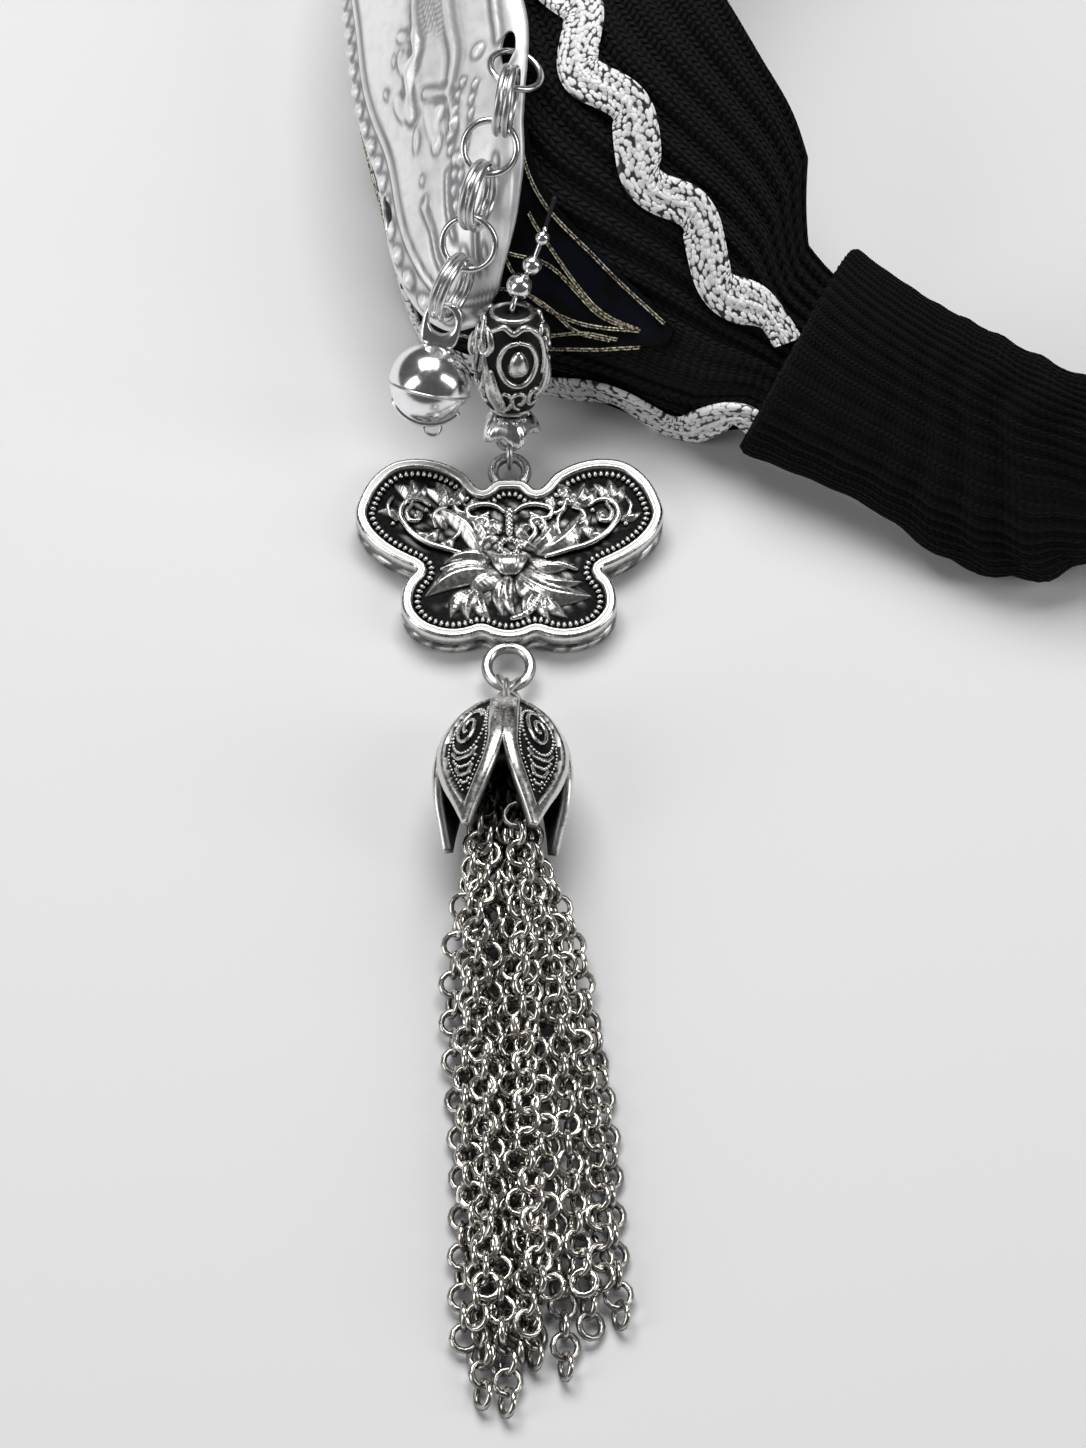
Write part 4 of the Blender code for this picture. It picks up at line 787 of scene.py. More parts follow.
# Silver plate. Raised work on its right half: bearing, share of the band's width, half length along the
# band, half width and height in millimetres, and turn in degrees.
PLATE_BOSSES = (
    (63.5, 0.462, 2.8, 1.3, 0.6, 5), (65.5, 0.413, 2.4, 1.2, 0.55, 7), (69.0, 0.462, 3.4, 1.4, 0.45, 2),
    (69.0, 0.488, 0.8, 0.8, 0.45, 10), (71.0, 0.450, 0.8, 0.8, 0.45, 52), (69.0, 0.413, 1.7, 0.7, 0.4, -23),
    (67.5, 0.600, 0.9, 0.9, 0.5, 163), (71.0, 0.500, 0.8, 0.8, 0.45, 11), (73.5, 0.475, 0.9, 0.7, 0.4, 26),
    (70.5, 0.638, 0.9, 0.9, 0.4, 15), (76.0, 0.525, 0.7, 0.65, 0.4, -14), (79.5, 0.388, 0.7, 0.7, 0.4, -5),
    (78.5, 0.363, 1.0, 0.8, 0.4, -34), (62.0, 0.500, 1.6, 0.6, 0.4, 0), (61.5, 0.438, 0.9, 0.4, 0.35, -27),
    (62.0, 0.455, 0.9, 0.4, 0.35, -27), (72.0, 0.388, 0.6, 0.5, 0.35, 8),
    (73.5, 0.375, 0.8, 0.45, 0.35, -15), (60.5, 0.475, 1.5, 0.7, 0.4, 36), (63.0, 0.388, 0.8, 0.5, 0.35, 3),
)
# Chased lines: places by bearing and share, then half width and height.
PLATE_LINES = (
    (((58.5, 0.525), (60.5, 0.513), (62.5, 0.500), (64.5, 0.450), (67.0, 0.425)), 0.6, 0.3),
    (((61.0, 0.588), (63.5, 0.575), (66.0, 0.560), (68.0, 0.525)), 0.7, 0.3),
    (((55.0, 0.662), (64.0, 0.663), (66.0, 0.650), (68.0, 0.638)), 0.4, 0.35),
    (((73.5, 0.438), (75.5, 0.400), (77.0, 0.375)), 0.35, 0.25),
    (((78.0, 0.413), (79.5, 0.363)), 0.35, 0.25),
    (((73.5, 0.363), (75.5, 0.350), (77.0, 0.325), (78.0, 0.312)), 0.4, 0.25),
    (((66.5, 0.475), (68.5, 0.513), (71.5, 0.488)), 0.5, 0.25),
)
# Rows of punched dots: places along the row.
PLATE_DOT_ROWS = (
    ((68.5, 0.562), (69.5, 0.525), (71.0, 0.500), (71.5, 0.475), (73.5, 0.462), (74.5, 0.438),
     (76.0, 0.413)),
    ((69.5, 0.580), (70.5, 0.553), (71.8, 0.532), (73.0, 0.503), (73.7, 0.475), (75.0, 0.450),
     (76.5, 0.425)),
)
PLATE_DOT_PITCH = 1.5
BORDER_PITCH = 3.0
MOTIF_START = 54.5
MOTIF_LENGTH = 27.0
MOTIF_HEIGHT = 30.0
SCALLOP_LENGTH = 13.5
# Slots as the part has them: bearing, inset from the lower edge or, where negative, from the upper one,
# length and width. A slot's rim is where the grid's points between SLOT_RIM and 1 of its oval are drawn out
# to it.
SLOTS = ((69.4, -2.8, 4.6, 2.4), (50.0, -2.4, 3.6, 1.7), (25.0, -2.4, 3.6, 1.7), (71.0, 2.1, 5.0, 2.5),
         (35.0, 2.4, 3.6, 1.7), (10.0, 2.4, 3.6, 1.7))
SLOT_RIM = 0.45
MM_PER_DEGREE = 1.6


def plate_edges(bearing):
    """The plate's two edges, waved in shallow scallops that fade at its tips."""
    low, high = edges_at(PLATE_SECTIONS, bearing)
    fade = np.minimum(1.0, (PLATE_END - np.abs(bearing)) / 6)
    scallop = 0.006 * fade * np.cos(np.radians(bearing * 360 / SCALLOP_LENGTH))
    return low + scallop, high + scallop * 0.5


def plate_stand(bearing, part):
    """How far the pressed sheet stands off the band: gap, panel, lifted edge, two ridges and soft folds."""
    ridge = np.exp(-((part - 0.07) / 0.06) ** 2) + np.exp(-((part - 0.93) / 0.06) ** 2)
    fold = np.sin(np.radians(bearing * 360 / MOTIF_LENGTH)) * np.sin(math.pi * part) ** 2
    return 2 * PANEL_GAP + PANEL_WALL + PLATE_EDGE_LIFT * part ** 2 + PLATE_RIDGE * (ridge + 0.6 + 0.6 * fold)


def motif_x(bearing):
    """Millimetres along the repeat, which runs to the plate's tip and is mirrored at each MOTIF_LENGTH."""
    run = (np.abs(bearing) - MOTIF_START) % (2 * MOTIF_LENGTH)
    return (MOTIF_START + np.minimum(run, 2 * MOTIF_LENGTH - run)) * MM_PER_DEGREE


def motif_place(bearing, share):
    """A drawn place in the repeat, in millimetres."""
    low, high = plate_edges(np.asarray(bearing, float))
    return bearing * MM_PER_DEGREE, (share - low) / (high - low) * MOTIF_HEIGHT


def nearest_on(places, x, y):
    """Distance from each point to the smooth line through places, and how far along it the nearest spot
    is."""
    line = smooth_path([motif_place(*place) for place in places], 28)
    best = np.full(x.shape, 1e9)
    where = np.zeros(x.shape)
    for start, end, begin in zip(line[:-1], line[1:], run_along(line)):
        way = end - start
        length = max(float(way @ way), 1e-9)
        t = np.clip(((x - start[0]) * way[0] + (y - start[1]) * way[1]) / length, 0, 1)
        far = np.hypot(x - start[0] - t * way[0], y - start[1] - t * way[1])
        where = np.where(far < best, begin + t * math.sqrt(length), where)
        best = np.minimum(far, best)
    return best, where


def from_beat(run, pitch):
    """How far each place of a run is from the middle of its pitch."""
    return ((run / pitch) % 1 - 0.5) * pitch


def plate_relief(bearing, part):
    """Pressed and chased work: domes for the petals, ridges along the lines, dots in rows, a row of bosses
    and a ridge along the lower border, and a hatched patch. Each is a bell curve of its distance in
    millimetres."""
    x, y = np.broadcast_arrays(motif_x(bearing), part * MOTIF_HEIGHT)
    height = np.zeros(x.shape)
    for place_bearing, share, long, wide, rise, turn in PLATE_BOSSES:
        middle = motif_place(place_bearing, share)
        dx, dy = x - middle[0], y - middle[1]
        c, s = math.cos(math.radians(turn)), math.sin(math.radians(turn))
        height += rise * np.exp(-((((dx * c + dy * s) / long) ** 2 + ((dy * c - dx * s) / wide) ** 2) ** 1.1))
    for places, wide, rise in PLATE_LINES:
        far, _ = nearest_on(places, x, y)
        height += rise * np.exp(-(far / wide) ** 2) - 0.1 * np.exp(-((far - 2.1 * wide) / (0.7 * wide)) ** 2)
    for places in PLATE_DOT_ROWS:
        far, where = nearest_on(places, x, y)
        height += 0.5 * np.exp(-((far / 0.5) ** 2 + (from_beat(where, PLATE_DOT_PITCH) / 0.45) ** 2) ** 1.2)
    run = bearing * MM_PER_DEGREE
    low, high = plate_edges(bearing)
    edge = part * ((high - low) * width_at(bearing))
    border = ((edge - 2.5) / 0.8) ** 2 + (from_beat(run, BORDER_PITCH) / 0.85) ** 2
    height += 0.75 * np.exp(-(border ** 1.4))
    height += 0.4 * np.exp(-((edge - 4.9) / 0.5) ** 2)
    hatch = np.abs(np.sin(math.pi * (run - 0.6 * edge) / 0.9))
    inside = np.exp(-(((x - 61.0 * MM_PER_DEGREE) / 4.0) ** 2 + ((part - 0.64) / 0.05) ** 2) ** 2)
    return height + 0.2 * hatch * inside


def slot_push(bearing, part):
    """Grid places inside a slot, with each slot's rim drawn onto its outline. Returns the moved grid and a
    mask."""
    bearing, part = (np.array(a) for a in np.broadcast_arrays(bearing, part))
    low, high = plate_edges(bearing)
    tall = (high - low) * width_at(bearing)
    hole = np.zeros(bearing.shape, bool)
    for centre, inset, long, wide in SLOTS:
        for middle in (-centre, centre):
            dx = (bearing - middle) * MM_PER_DEGREE
            dy = part * tall - (inset if inset > 0 else tall + inset)
            size = np.sqrt((dx / (long / 2)) ** 2 + (dy / (wide / 2)) ** 2)
            rim = (size < 1) & (size > SLOT_RIM)
            grow = np.where(rim, 1 / np.maximum(size, SLOT_RIM), 1)
            bearing = np.where(rim, middle + dx * grow / MM_PER_DEGREE, bearing)
            part = np.where(rim, part + dy * (grow - 1) / tall, part)
            hole = (hole | (size < 1)) & ~rim
    return bearing, part, hole


def silver_plate():
    """The pressed sheet: its outer face, a rolled edge on all sides and a plain inner face, with the slots
    cut out. Hollows and the steep feet of the raised work are toned dark as painted shade."""
    bearing = np.append(np.linspace(-PLATE_END, 50, 150)[:-1], np.linspace(50, PLATE_END, 172))[:, None]
    part = np.linspace(0, 1, 106)[None]
    moved, share, hole = slot_push(bearing, part)
    low, high = plate_edges(moved)
    tall = (high - low) * width_at(moved)
    stand = plate_stand(moved, share)
    work = plate_relief(moved, share)
    tip = ease((PLATE_END - np.abs(moved)) / 2.5)
    edge = np.minimum(np.minimum(share, 1 - share) * tall, (PLATE_END - np.abs(moved)) * MM_PER_DEGREE)
    rim = np.sqrt(1 - (1 - np.clip(edge / 0.45, 0, 1)) ** 2)
    across = low + share * (high - low)
    outer = on_band(moved, across, stand + work * tip * ease(edge / 1.5) + PLATE_WALL * rim)
    inner = on_band(moved, across, stand)
    step_along = np.gradient(bearing[:, 0])[:, None] * MM_PER_DEGREE
    step_across = tall / (part.size - 1)
    steep = np.hypot(np.gradient(work, axis=0) / step_along, np.gradient(work, axis=1) / step_across)
    # Painted shade: the tone darkens the hollows and the steep feet of the raised work.
    foot = ease((steep - 0.1) / 0.25) * ease((0.34 - work) / 0.2)
    tone = np.clip(1 - 0.9 * hollows(work, 0.12) - 0.9 * foot, 0, 1)
    make_cut("pressed_plate", outer, inner, hole, tone, PLATE, ["silver_plate"])


# Rings, chain and bell
RING_WIRE = 0.9
RING_OUTER = 7.6
LINK_OUTER = 9.0
LINK_BAR = 1.1
LINK_TURN = math.radians(15)
CAP_RING_TURN = math.radians(42)
SMALL_WIRE = 0.8
SMALL_RING_RADIUS = 1.9
VIEW_SIDE = np.array((0.0, -0.42, 0.9))
JUMP_RINGS = (("drop_ring", "drop_jump_ring", SILVER, 0.0),
              ("cap_ring_1", "cap_jump_ring_1", ANTIQUE, CAP_RING_TURN),
              ("cap_ring_2", "cap_jump_ring_2", ANTIQUE, CAP_RING_TURN))


def ring_frame(name):
    """A ring node's middle, and its normal, the direction in which its points spread least."""
    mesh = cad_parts[name].data
    corners = np.zeros(len(mesh.vertices) * 3)
    mesh.vertices.foreach_get("co", corners)
    points = corners.reshape(-1, 3) / MM - SHIFT
    centre = (points.max(axis=0) + points.min(axis=0)) / 2
    return centre, np.linalg.svd(points - points.mean(axis=0), full_matrices=False)[2][2]


def rings():
    """Every ring stands where its node stands. The links and the cap's rings are turned about their own
    line, the normal going round from itself towards what is square to it."""
    for number in (1, 2, 3):
        middle, normal = ring_frame(f"chain_ring_{number}")
        ring = hoop(middle, normal, (RING_OUTER - RING_WIRE) / 2, RING_WIRE, 64, 14)
        make(f"round_ring_{number}", ring, SILVER, [f"chain_ring_{number}"])
        centre, normal = ring_frame(f"chain_link_{number}")
        normal = out_at(LINK_TURN, normal, np.cross(unit(centre - middle), normal))
        link = hoop(centre, normal, (LINK_OUTER - RING_WIRE) / 2, LINK_BAR, 64, 14, True)
        make(f"double_link_{number}", link, SILVER, [f"chain_link_{number}"])
    down = unit(ring_frame("cap_ring_2")[0] - ring_frame("cap_ring_1")[0])
    for replaced, name, look, turn in JUMP_RINGS:
        centre, normal = ring_frame(replaced)
        normal = out_at(turn, normal, np.cross(down, normal))
        make(name, hoop(centre, normal, SMALL_RING_RADIUS, SMALL_WIRE, 48, 12), look, [replaced])


BELL_RADIUS = 5.3
BELL_WALL = 0.5
BELL_HOLE = np.array((-12.816, 45.319, 24.486))
BELL_UP = unit((0.20, 0.72, 0.66))
BELL_HANG = 8.3
TAB_WIDTH = 5.0
TAB_HEIGHT = 6.0
TAB_THICKNESS = 1.3
TAB_HOLE = 3.4
SLOT_END = 0.62


def bell():
    """Two domes with a lapped seam, a slot across the foot with rolled lips, and a drilled tab. The ball's
    grid has its poles at the slot's two ends, so that the slot follows its lines."""
    centre = BELL_HOLE - BELL_HANG * BELL_UP
    facing = square_to(BELL_UP, VIEW_SIDE)
    side = np.cross(BELL_UP, facing)
    fall = np.linspace(0, math.pi, 60)[:, None]
    turn = spin(96)[None]
    ball = out_at(fall[..., None], side, out_at(turn[..., None], -BELL_UP, facing))
    lap = (BELL_RADIUS - 0.14 * ease((-0.1 - ball @ BELL_UP) / 0.02))[..., None]
    open_turn = np.minimum(turn, TURN - turn) < math.radians(7.4)
    hole = open_turn & (np.abs(fall - math.pi / 2) < math.pi / 2 - SLOT_END - 0.1)
    outer = centre + ball * lap
    inner = centre + ball * (lap - BELL_WALL)
    make_cut("bell_ball", outer, inner, hole, np.ones(hole.shape), SILVER, ["jingle_bell"], around=True)
    lips = []
    run = np.linspace(SLOT_END, math.pi - SLOT_END, 40)[:, None]
    for hand in (-1, 1):
        part = (run - SLOT_END) / (math.pi - 2 * SLOT_END)
        swing = hand * math.radians(9.0) * np.sin(part * math.pi) ** 0.4
        path = out_at(run, side, out_at(swing, -BELL_UP, facing))
        lips.append(swept(centre + path * (BELL_RADIUS - 0.02), path, 0.32, 10))
    lips += hoop(centre - 0.1 * BELL_RADIUS * BELL_UP, BELL_UP, BELL_RADIUS * 0.985, 0.42, 96, 10)
    lips += hoop(centre - BELL_UP * (BELL_RADIUS + 0.2) + side * 1.4, facing, 1.1, 0.45, 28, 8)
    make("bell_lips", lips, SILVER)
    c, s = np.cos(spin(96)), np.sin(spin(96))
    c_wide, s_wide = squared_off(c, 0.55), squared_off(s, 0.55)
    outline = np.stack([c_wide * TAB_WIDTH / 2, s_wide * TAB_HEIGHT / 2 - 0.6], axis=1)
    bore = np.stack([c, s], axis=1) * TAB_HOLE / 2
    half = TAB_THICKNESS / 2
    levels = ((outline * 0.92, -half), (outline, 0.3 - half), (outline, half - 0.3), (outline * 0.92, half),
              (bore * 1.12, half), (bore, half - 0.25), (bore, 0.25 - half), (bore * 1.12, -half))
    rows = [BELL_HOLE + ring[:, :1] * side + ring[:, 1:] * BELL_UP + height * facing
            for ring, height in levels]
    make("bell_tab", [patch(rows, loop=True)], SILVER)


# Bead drop
PIN_WIRE = 0.7
STITCH_PLACE = np.array((1.531, 58.155, 33.392))
BEADS = ((2.0, (-0.1, 54.0, 30.294)), (2.6, (-1.4, 51.3, 28.188)), (3.4, (-3.0, 49.0, 26.784)))
BARREL_TOP = np.array((-3.9, 46.2, 25.218))
BARREL_BOTTOM = np.array((-4.269, 40.621, 10.831))
DROP_EYE = np.array((-4.4, 38.633, 5.704))
EYE_RADIUS = 1.5
BARREL_WIDTH = 10.0
BARREL_DEPTH = 7.6
BARREL_PROFILE = (
    (0.0, 0.30), (0.02, 0.60), (0.08, 0.78), (0.28, 0.96), (0.48, 1.0), (0.7, 0.93), (0.88, 0.72),
    (0.96, 0.64), (1.0, 0.4),
)
PETAL_CAP_LENGTH = 3.4
PETAL_CAP_RADIUS = 3.8
BARREL_AXIS = unit(BARREL_BOTTOM - BARREL_TOP)
# Scrolls of one of the barrel's three sides: wire radius, then places by turn in degrees and share of its
# length from the top.
BARREL_SCROLLS = (
    (0.42, ((-12, 0.16), (-34, 0.22), (-43, 0.36), (-34, 0.52), (-12, 0.60), (10, 0.52), (19, 0.36),
            (10, 0.22), (-12, 0.16))),
    (0.48, ((72, 0.16), (56, 0.10), (40, 0.14), (34, 0.23), (42, 0.31), (55, 0.31), (60, 0.24),
            (53, 0.20))),
    (0.46, ((40, 0.10), (15, 0.04), (-5, 0.09), (-22, 0.05), (-48, 0.10), (-60, 0.22), (-62, 0.38),
            (-56, 0.52))),
    (0.50, ((-62, 0.30), (-70, 0.50), (-62, 0.66), (-48, 0.74))),
    (0.34, ((-20, 0.90), (-6, 0.84), (-3, 0.74), (-14, 0.69), (-26, 0.74), (-24, 0.83), (-15, 0.82))),
    (0.34, ((-62, 0.84), (-50, 0.86), (-36, 0.80), (-36, 0.70), (-48, 0.67), (-58, 0.74), (-52, 0.80))),
    (0.34, ((20, 0.72), (4, 0.70), (-4, 0.78), (4, 0.88), (20, 0.90))),
)
BARREL_SIDES = (0, 112, 232)
BARREL_LEAF = ((32, 0.46), (30, 0.66), (24, 0.84), (16, 1.0))
STONE_PLACE = (-12, 0.38)


def on_barrel(turn, share, lift=0.0):
    """A place on the barrel: turn in degrees from the side that faces the camera, share of its length."""
    facing = square_to(BARREL_AXIS, VIEW_SIDE)
    side = np.cross(BARREL_AXIS, facing)
    turn, share, lift = np.broadcast_arrays(np.radians(turn), share, lift)
    radius = read_one(BARREL_PROFILE, share) * (BARREL_WIDTH / 2 - 0.35) + lift
    length = np.linalg.norm(BARREL_BOTTOM - BARREL_TOP)
    return (BARREL_TOP + (share * length)[..., None] * BARREL_AXIS
            + (radius * np.cos(turn) * BARREL_DEPTH / BARREL_WIDTH)[..., None] * facing
            + (radius * np.sin(turn))[..., None] * side)


def barrel_line(places, count, offset, lift):
    """A smooth line over the barrel, shares counted as hundredths while it is smoothed, and its way out."""
    path = smooth_path(np.array(places) * (1, 100), count) * (1, 0.01)
    return standing(on_barrel, path[:, 0] + offset, path[:, 1], lift=lift)


def bead_drop():
    """The stitch, the wire through all beads to the eye, and three round beads, each bored along the
    wire."""
    places = [np.asarray(place) for _, place in BEADS]
    ends = [STITCH_PLACE, *places, BARREL_TOP - BARREL_AXIS * 0.8]
    wire_end = places[0] + 1.4 * unit(STITCH_PLACE - places[0])
    route = np.array([wire_end, *ends[1:], DROP_EYE - BARREL_AXIS * EYE_RADIUS])
    make("stitch_thread", [swept(np.linspace(STITCH_PLACE, wire_end, 12), BARREL_AXIS, 0.3, 8)], THREAD)
    normal = np.cross(BARREL_AXIS, (1.0, 0, 0))
    make("eye_wire", [swept(even_path(route, 60), (0.9, 0.3, 0.2), PIN_WIRE / 2, 10)]
         + hoop(DROP_EYE, normal, EYE_RADIUS, SMALL_WIRE, 40, 10), SILVER, ["eye_pin"])
    for number, (diameter, place) in enumerate(BEADS, 1):
        half = math.acos((PIN_WIRE / 2 + 0.15) / (diameter / 2))
        fall = np.linspace(-half, half, 24)
        profile = np.stack([np.cos(fall), np.sin(fall)], axis=1) * diameter / 2
        bead = turned(profile, place, unit(ends[number + 1] - ends[number - 1]), 40)
        make(f"round_bead_{number}", [patch(bead["points"], loop=True)], SILVER, [f"bead_{number}"])


def barrel():
    """A dark bored ground, and on each of its three sides tapered scrolls, a teardrop stone and a broad
    leaf that is a flattened swept cord. A hoop closes either end."""
    share = np.append(np.linspace(0, 1, 70), np.linspace(1, 0, 6))[:, None]
    outside = on_barrel(np.linspace(0, 360, 96, endpoint=False)[None], share)
    middle = BARREL_TOP + share[..., None] * (BARREL_BOTTOM - BARREL_TOP)
    bored = middle + unit(outside - middle) * (PIN_WIRE / 2 + 0.3)
    inside = (np.arange(len(share)) >= 70)[:, None, None]
    pieces = [patch(np.where(inside, bored, outside), loop=True, tone=0.03)]
    taper = 0.45 + 0.55 * np.sin(np.linspace(0.25, math.pi - 0.3, 44)) ** 0.6
    swell = 1.25 * np.sin(np.linspace(0.2, math.pi - 0.1, 30)) ** 0.8
    for offset in BARREL_SIDES:
        for radius, places in BARREL_SCROLLS:
            pieces.append(swept(*barrel_line(places, 44, offset, 0.12), radius * taper, 10))
        stone, up = standing(on_barrel, STONE_PLACE[0] + offset, STONE_PLACE[1], lift=0.0)
        pieces.append(tear(stone, up, BARREL_AXIS, 1.9, 1.35, 1.1))
        pieces.append(swept(*barrel_line(BARREL_LEAF, 30, offset, 0.2), swell, 14, tall=0.5))
    for share_at, wire in ((0.015, 0.7), (0.985, 0.8)):
        circle = on_barrel(np.linspace(0, 360, 72, endpoint=False), share_at, 0.1)
        pieces.append(swept(circle, BARREL_AXIS, wire / 2, 8, loop=True, tone=0.8))
    make("scrolled_barrel", pieces, ANTIQUE, ["filigree_barrel"])


def tear(place, up, down, long, wide, tall):
    """A teardrop stone: half ellipsoid, drawn to a point at its upper end."""
    rise = np.linspace(-0.35, math.pi / 2, 12)[:, None, None]
    turn = spin(28)[None, :, None]
    stretch = np.where(np.cos(turn) < 0, 1.35 + 0.2 * np.cos(turn), 1.0)
    flat = (np.cos(turn) * stretch * long * down
            + np.sin(turn) * (1 + 0.25 * np.cos(turn)) * wide * np.cross(up, down))
    points = place + out_at(rise, flat, tall * up)
    return patch(np.concatenate([np.broadcast_to(place, (1, 28, 3)), points]))


def petal_cap():
    """A shallow cup, five petals round: reach and drop both grow from the middle to the rim, most at the
    petals' middles, and the rim is a rounded lip. Granules stand in a ring at its shoulder."""
    first = square_to(BARREL_AXIS, np.array((1.0, 0, 0)))
    second = np.cross(BARREL_AXIS, first)
    top = BARREL_BOTTOM + BARREL_AXIS * 0.3
    turn = spin(100)[None]
    part = np.linspace(0, 1, 24)[:, None]
    petal = 0.5 + 0.5 * np.cos(5 * turn)
    bore = PIN_WIRE / 2 + 0.3
    out = out_at(turn[..., None], first, second)
    walls = []
    for wall, vein in ((0.0, 0.07), (0.42, 0.0)):
        reach = bore + 0.2 + (PETAL_CAP_RADIUS - bore) * np.sin(part * math.pi / 2) * (0.78 + 0.22 * petal)
        reach = reach - wall * part + vein * np.cos(30 * turn) * part * petal
        drop = 0.2 + wall * (1 - part) + PETAL_CAP_LENGTH * part ** 1.7 * (0.7 + 0.3 * petal)
        walls.append(top + drop[..., None] * BARREL_AXIS + reach[..., None] * out)
    # Painted shade: darker between the petals and on the inner wall.
    tone = np.concatenate([0.55 + 0.45 * petal * np.ones_like(part), 0.4 * np.ones((24, 100))])
    pieces = [patch(np.concatenate([walls[0], walls[1][::-1]]), loop=True, tone=tone)]
    for angle in spin(10):
        out = out_at(angle, first, second)
        pieces.append(dome(top + 0.75 * BARREL_AXIS + out * 2.2, 0.42, out, 1.0, 12, 6))
    make("leafy_cap", pieces, SILVER, ["petal_cap"])

# Butterfly
BUTTERFLY_PLACE = np.array((-4.4, 23.4))
BUTTERFLY_WIDTH = 40.3
BUTTERFLY_HEIGHT = 27.2
BUTTERFLY_THICKNESS = 4.8
BUTTERFLY_OUTLINE = (
    (0.0, 0.74), (0.10, 0.72), (0.17, 0.63), (0.30, 0.81), (0.42, 0.91), (0.58, 0.965), (0.76, 0.925),
    (0.90, 0.75), (0.97, 0.55), (1.0, 0.36), (0.965, 0.19), (0.89, 0.04), (0.78, -0.095), (0.675, -0.185),
    (0.60, -0.25), (0.65, -0.34), (0.685, -0.47), (0.685, -0.67), (0.60, -0.86), (0.47, -0.96),
    (0.33, -0.985), (0.24, -0.96), (0.18, -0.93), (0.10, -0.975), (0.0, -1.0),
)
FIELD_DEPTH = 1.0
RIM_WIDTH = 1.35
DOT_INSET = 2.15
BEAD_PITCH = 0.78
TOP_LOOP = (0.437, 2.3)
BOTTOM_LOOP = (-0.615, 2.9)
LOOP_HEIGHT = 3.0
LOOP_WIRE = 1.2
# Wires of one wing: radius, then places in millimetres from the butterfly's middle. The other wing mirrors
# them.
WING_WIRES = (
    (0.42, ((4.6, -1.3), (7.6, -0.4), (11.0, 0.8), (13.2, 2.7), (14.3, 5.0), (13.5, 6.8), (11.7, 7.1),
            (10.3, 6.2))),
    (0.34, ((12.6, 6.6), (13.4, 5.2), (12.9, 3.9), (11.9, 4.0), (11.6, 5.0), (12.2, 5.4))),
    (0.38, ((0.5, 5.2), (1.8, 6.1), (4.1, 6.2), (5.6, 5.4), (5.1, 4.4), (3.4, 4.7), (2.6, 5.3))),
    (0.36, ((2.2, 0.6), (3.4, 2.4), (2.8, 3.8), (3.9, 4.2), (4.8, 3.2), (4.3, 2.2))),
    (0.30, ((6.3, 8.4), (7.3, 7.0), (7.0, 5.6), (6.0, 5.0), (5.4, 5.9), (6.0, 6.5))),
    (0.30, ((15.3, 7.6), (15.9, 6.0), (15.4, 4.6), (14.6, 4.0))),
    (0.36, ((8.9, -3.2), (6.4, -2.5), (4.6, -2.8), (3.0, -2.0))),
    (0.30, ((9.6, 3.0), (9.9, 4.4), (9.2, 5.6), (8.2, 6.0))),
    (0.30, ((7.4, 5.9), (6.4, 4.2), (6.6, 2.0), (8.0, 0.6))),
    (0.26, ((10.4, 2.0), (11.6, 1.9), (12.2, 2.6))),
)
# Leaves: root and tip in millimetres from the middle, half width, height.
WING_LEAVES = (
    ((3.6, -0.9), (9.9, 5.9), 1.35, 1.1),
    ((2.6, -0.4), (6.0, 4.6), 1.0, 0.95),
    ((8.2, 6.0), (9.8, 9.9), 0.95, 0.9),
    ((7.9, 6.2), (6.0, 9.6), 0.85, 0.85),
    ((8.6, 6.4), (11.6, 8.9), 0.75, 0.7),
    ((12.8, 6.9), (15.2, 9.4), 0.85, 0.8),
    ((12.9, 7.2), (13.0, 10.3), 0.75, 0.8),
    ((12.6, 7.2), (10.9, 9.6), 0.6, 0.7),
    ((14.4, 4.6), (17.4, 5.4), 0.6, 0.6),
    ((11.6, 1.2), (9.0, 2.9), 0.75, 0.8),
    ((9.2, 0.2), (7.0, 1.7), 0.7, 0.7),
    ((8.1, 2.9), (10.8, 5.0), 0.7, 0.8),
    ((1.0, -3.6), (10.9, -7.0), 1.55, 1.1),
    ((1.8, -3.0), (9.6, -4.9), 1.05, 0.9),
    ((0.9, -4.1), (5.2, -7.4), 1.2, 1.1),
    ((4.6, -6.0), (7.6, -10.2), 0.95, 0.95),
    ((4.4, -6.2), (5.3, -10.7), 0.85, 0.95),
    ((4.0, -6.1), (2.3, -10.6), 0.9, 0.9),
    ((0.0, -3.8), (0.8, -10.0), 0.95, 0.95),
    ((2.4, -1.5), (8.6, -2.3), 0.85, 0.8),
    ((0.6, 3.6), (2.9, 1.4), 0.8, 0.95),
    ((1.2, 1.6), (3.9, -0.1), 0.75, 0.9),
    ((1.0, 3.4), (3.4, 3.4), 0.65, 0.8),
    ((5.9, 5.6), (4.3, 7.6), 0.6, 0.7),
)
# Small domes: side, rise, radius.
WING_BEADS = (
    (7.6, 6.9, 0.75), (6.9, 7.9, 0.5), (8.4, 7.7, 0.5), (6.7, 6.6, 0.45), (8.9, 6.5, 0.5), (13.0, 7.0, 0.5),
    (12.2, 4.7, 0.4), (4.3, 3.1, 0.6), (3.6, 3.7, 0.45), (4.9, 2.3, 0.45), (3.0, 4.6, 0.4),
    (4.5, -6.4, 0.7), (1.3, 2.5, 0.5), (15.2, 3.6, 0.35), (10.9, 5.6, 0.35),
)
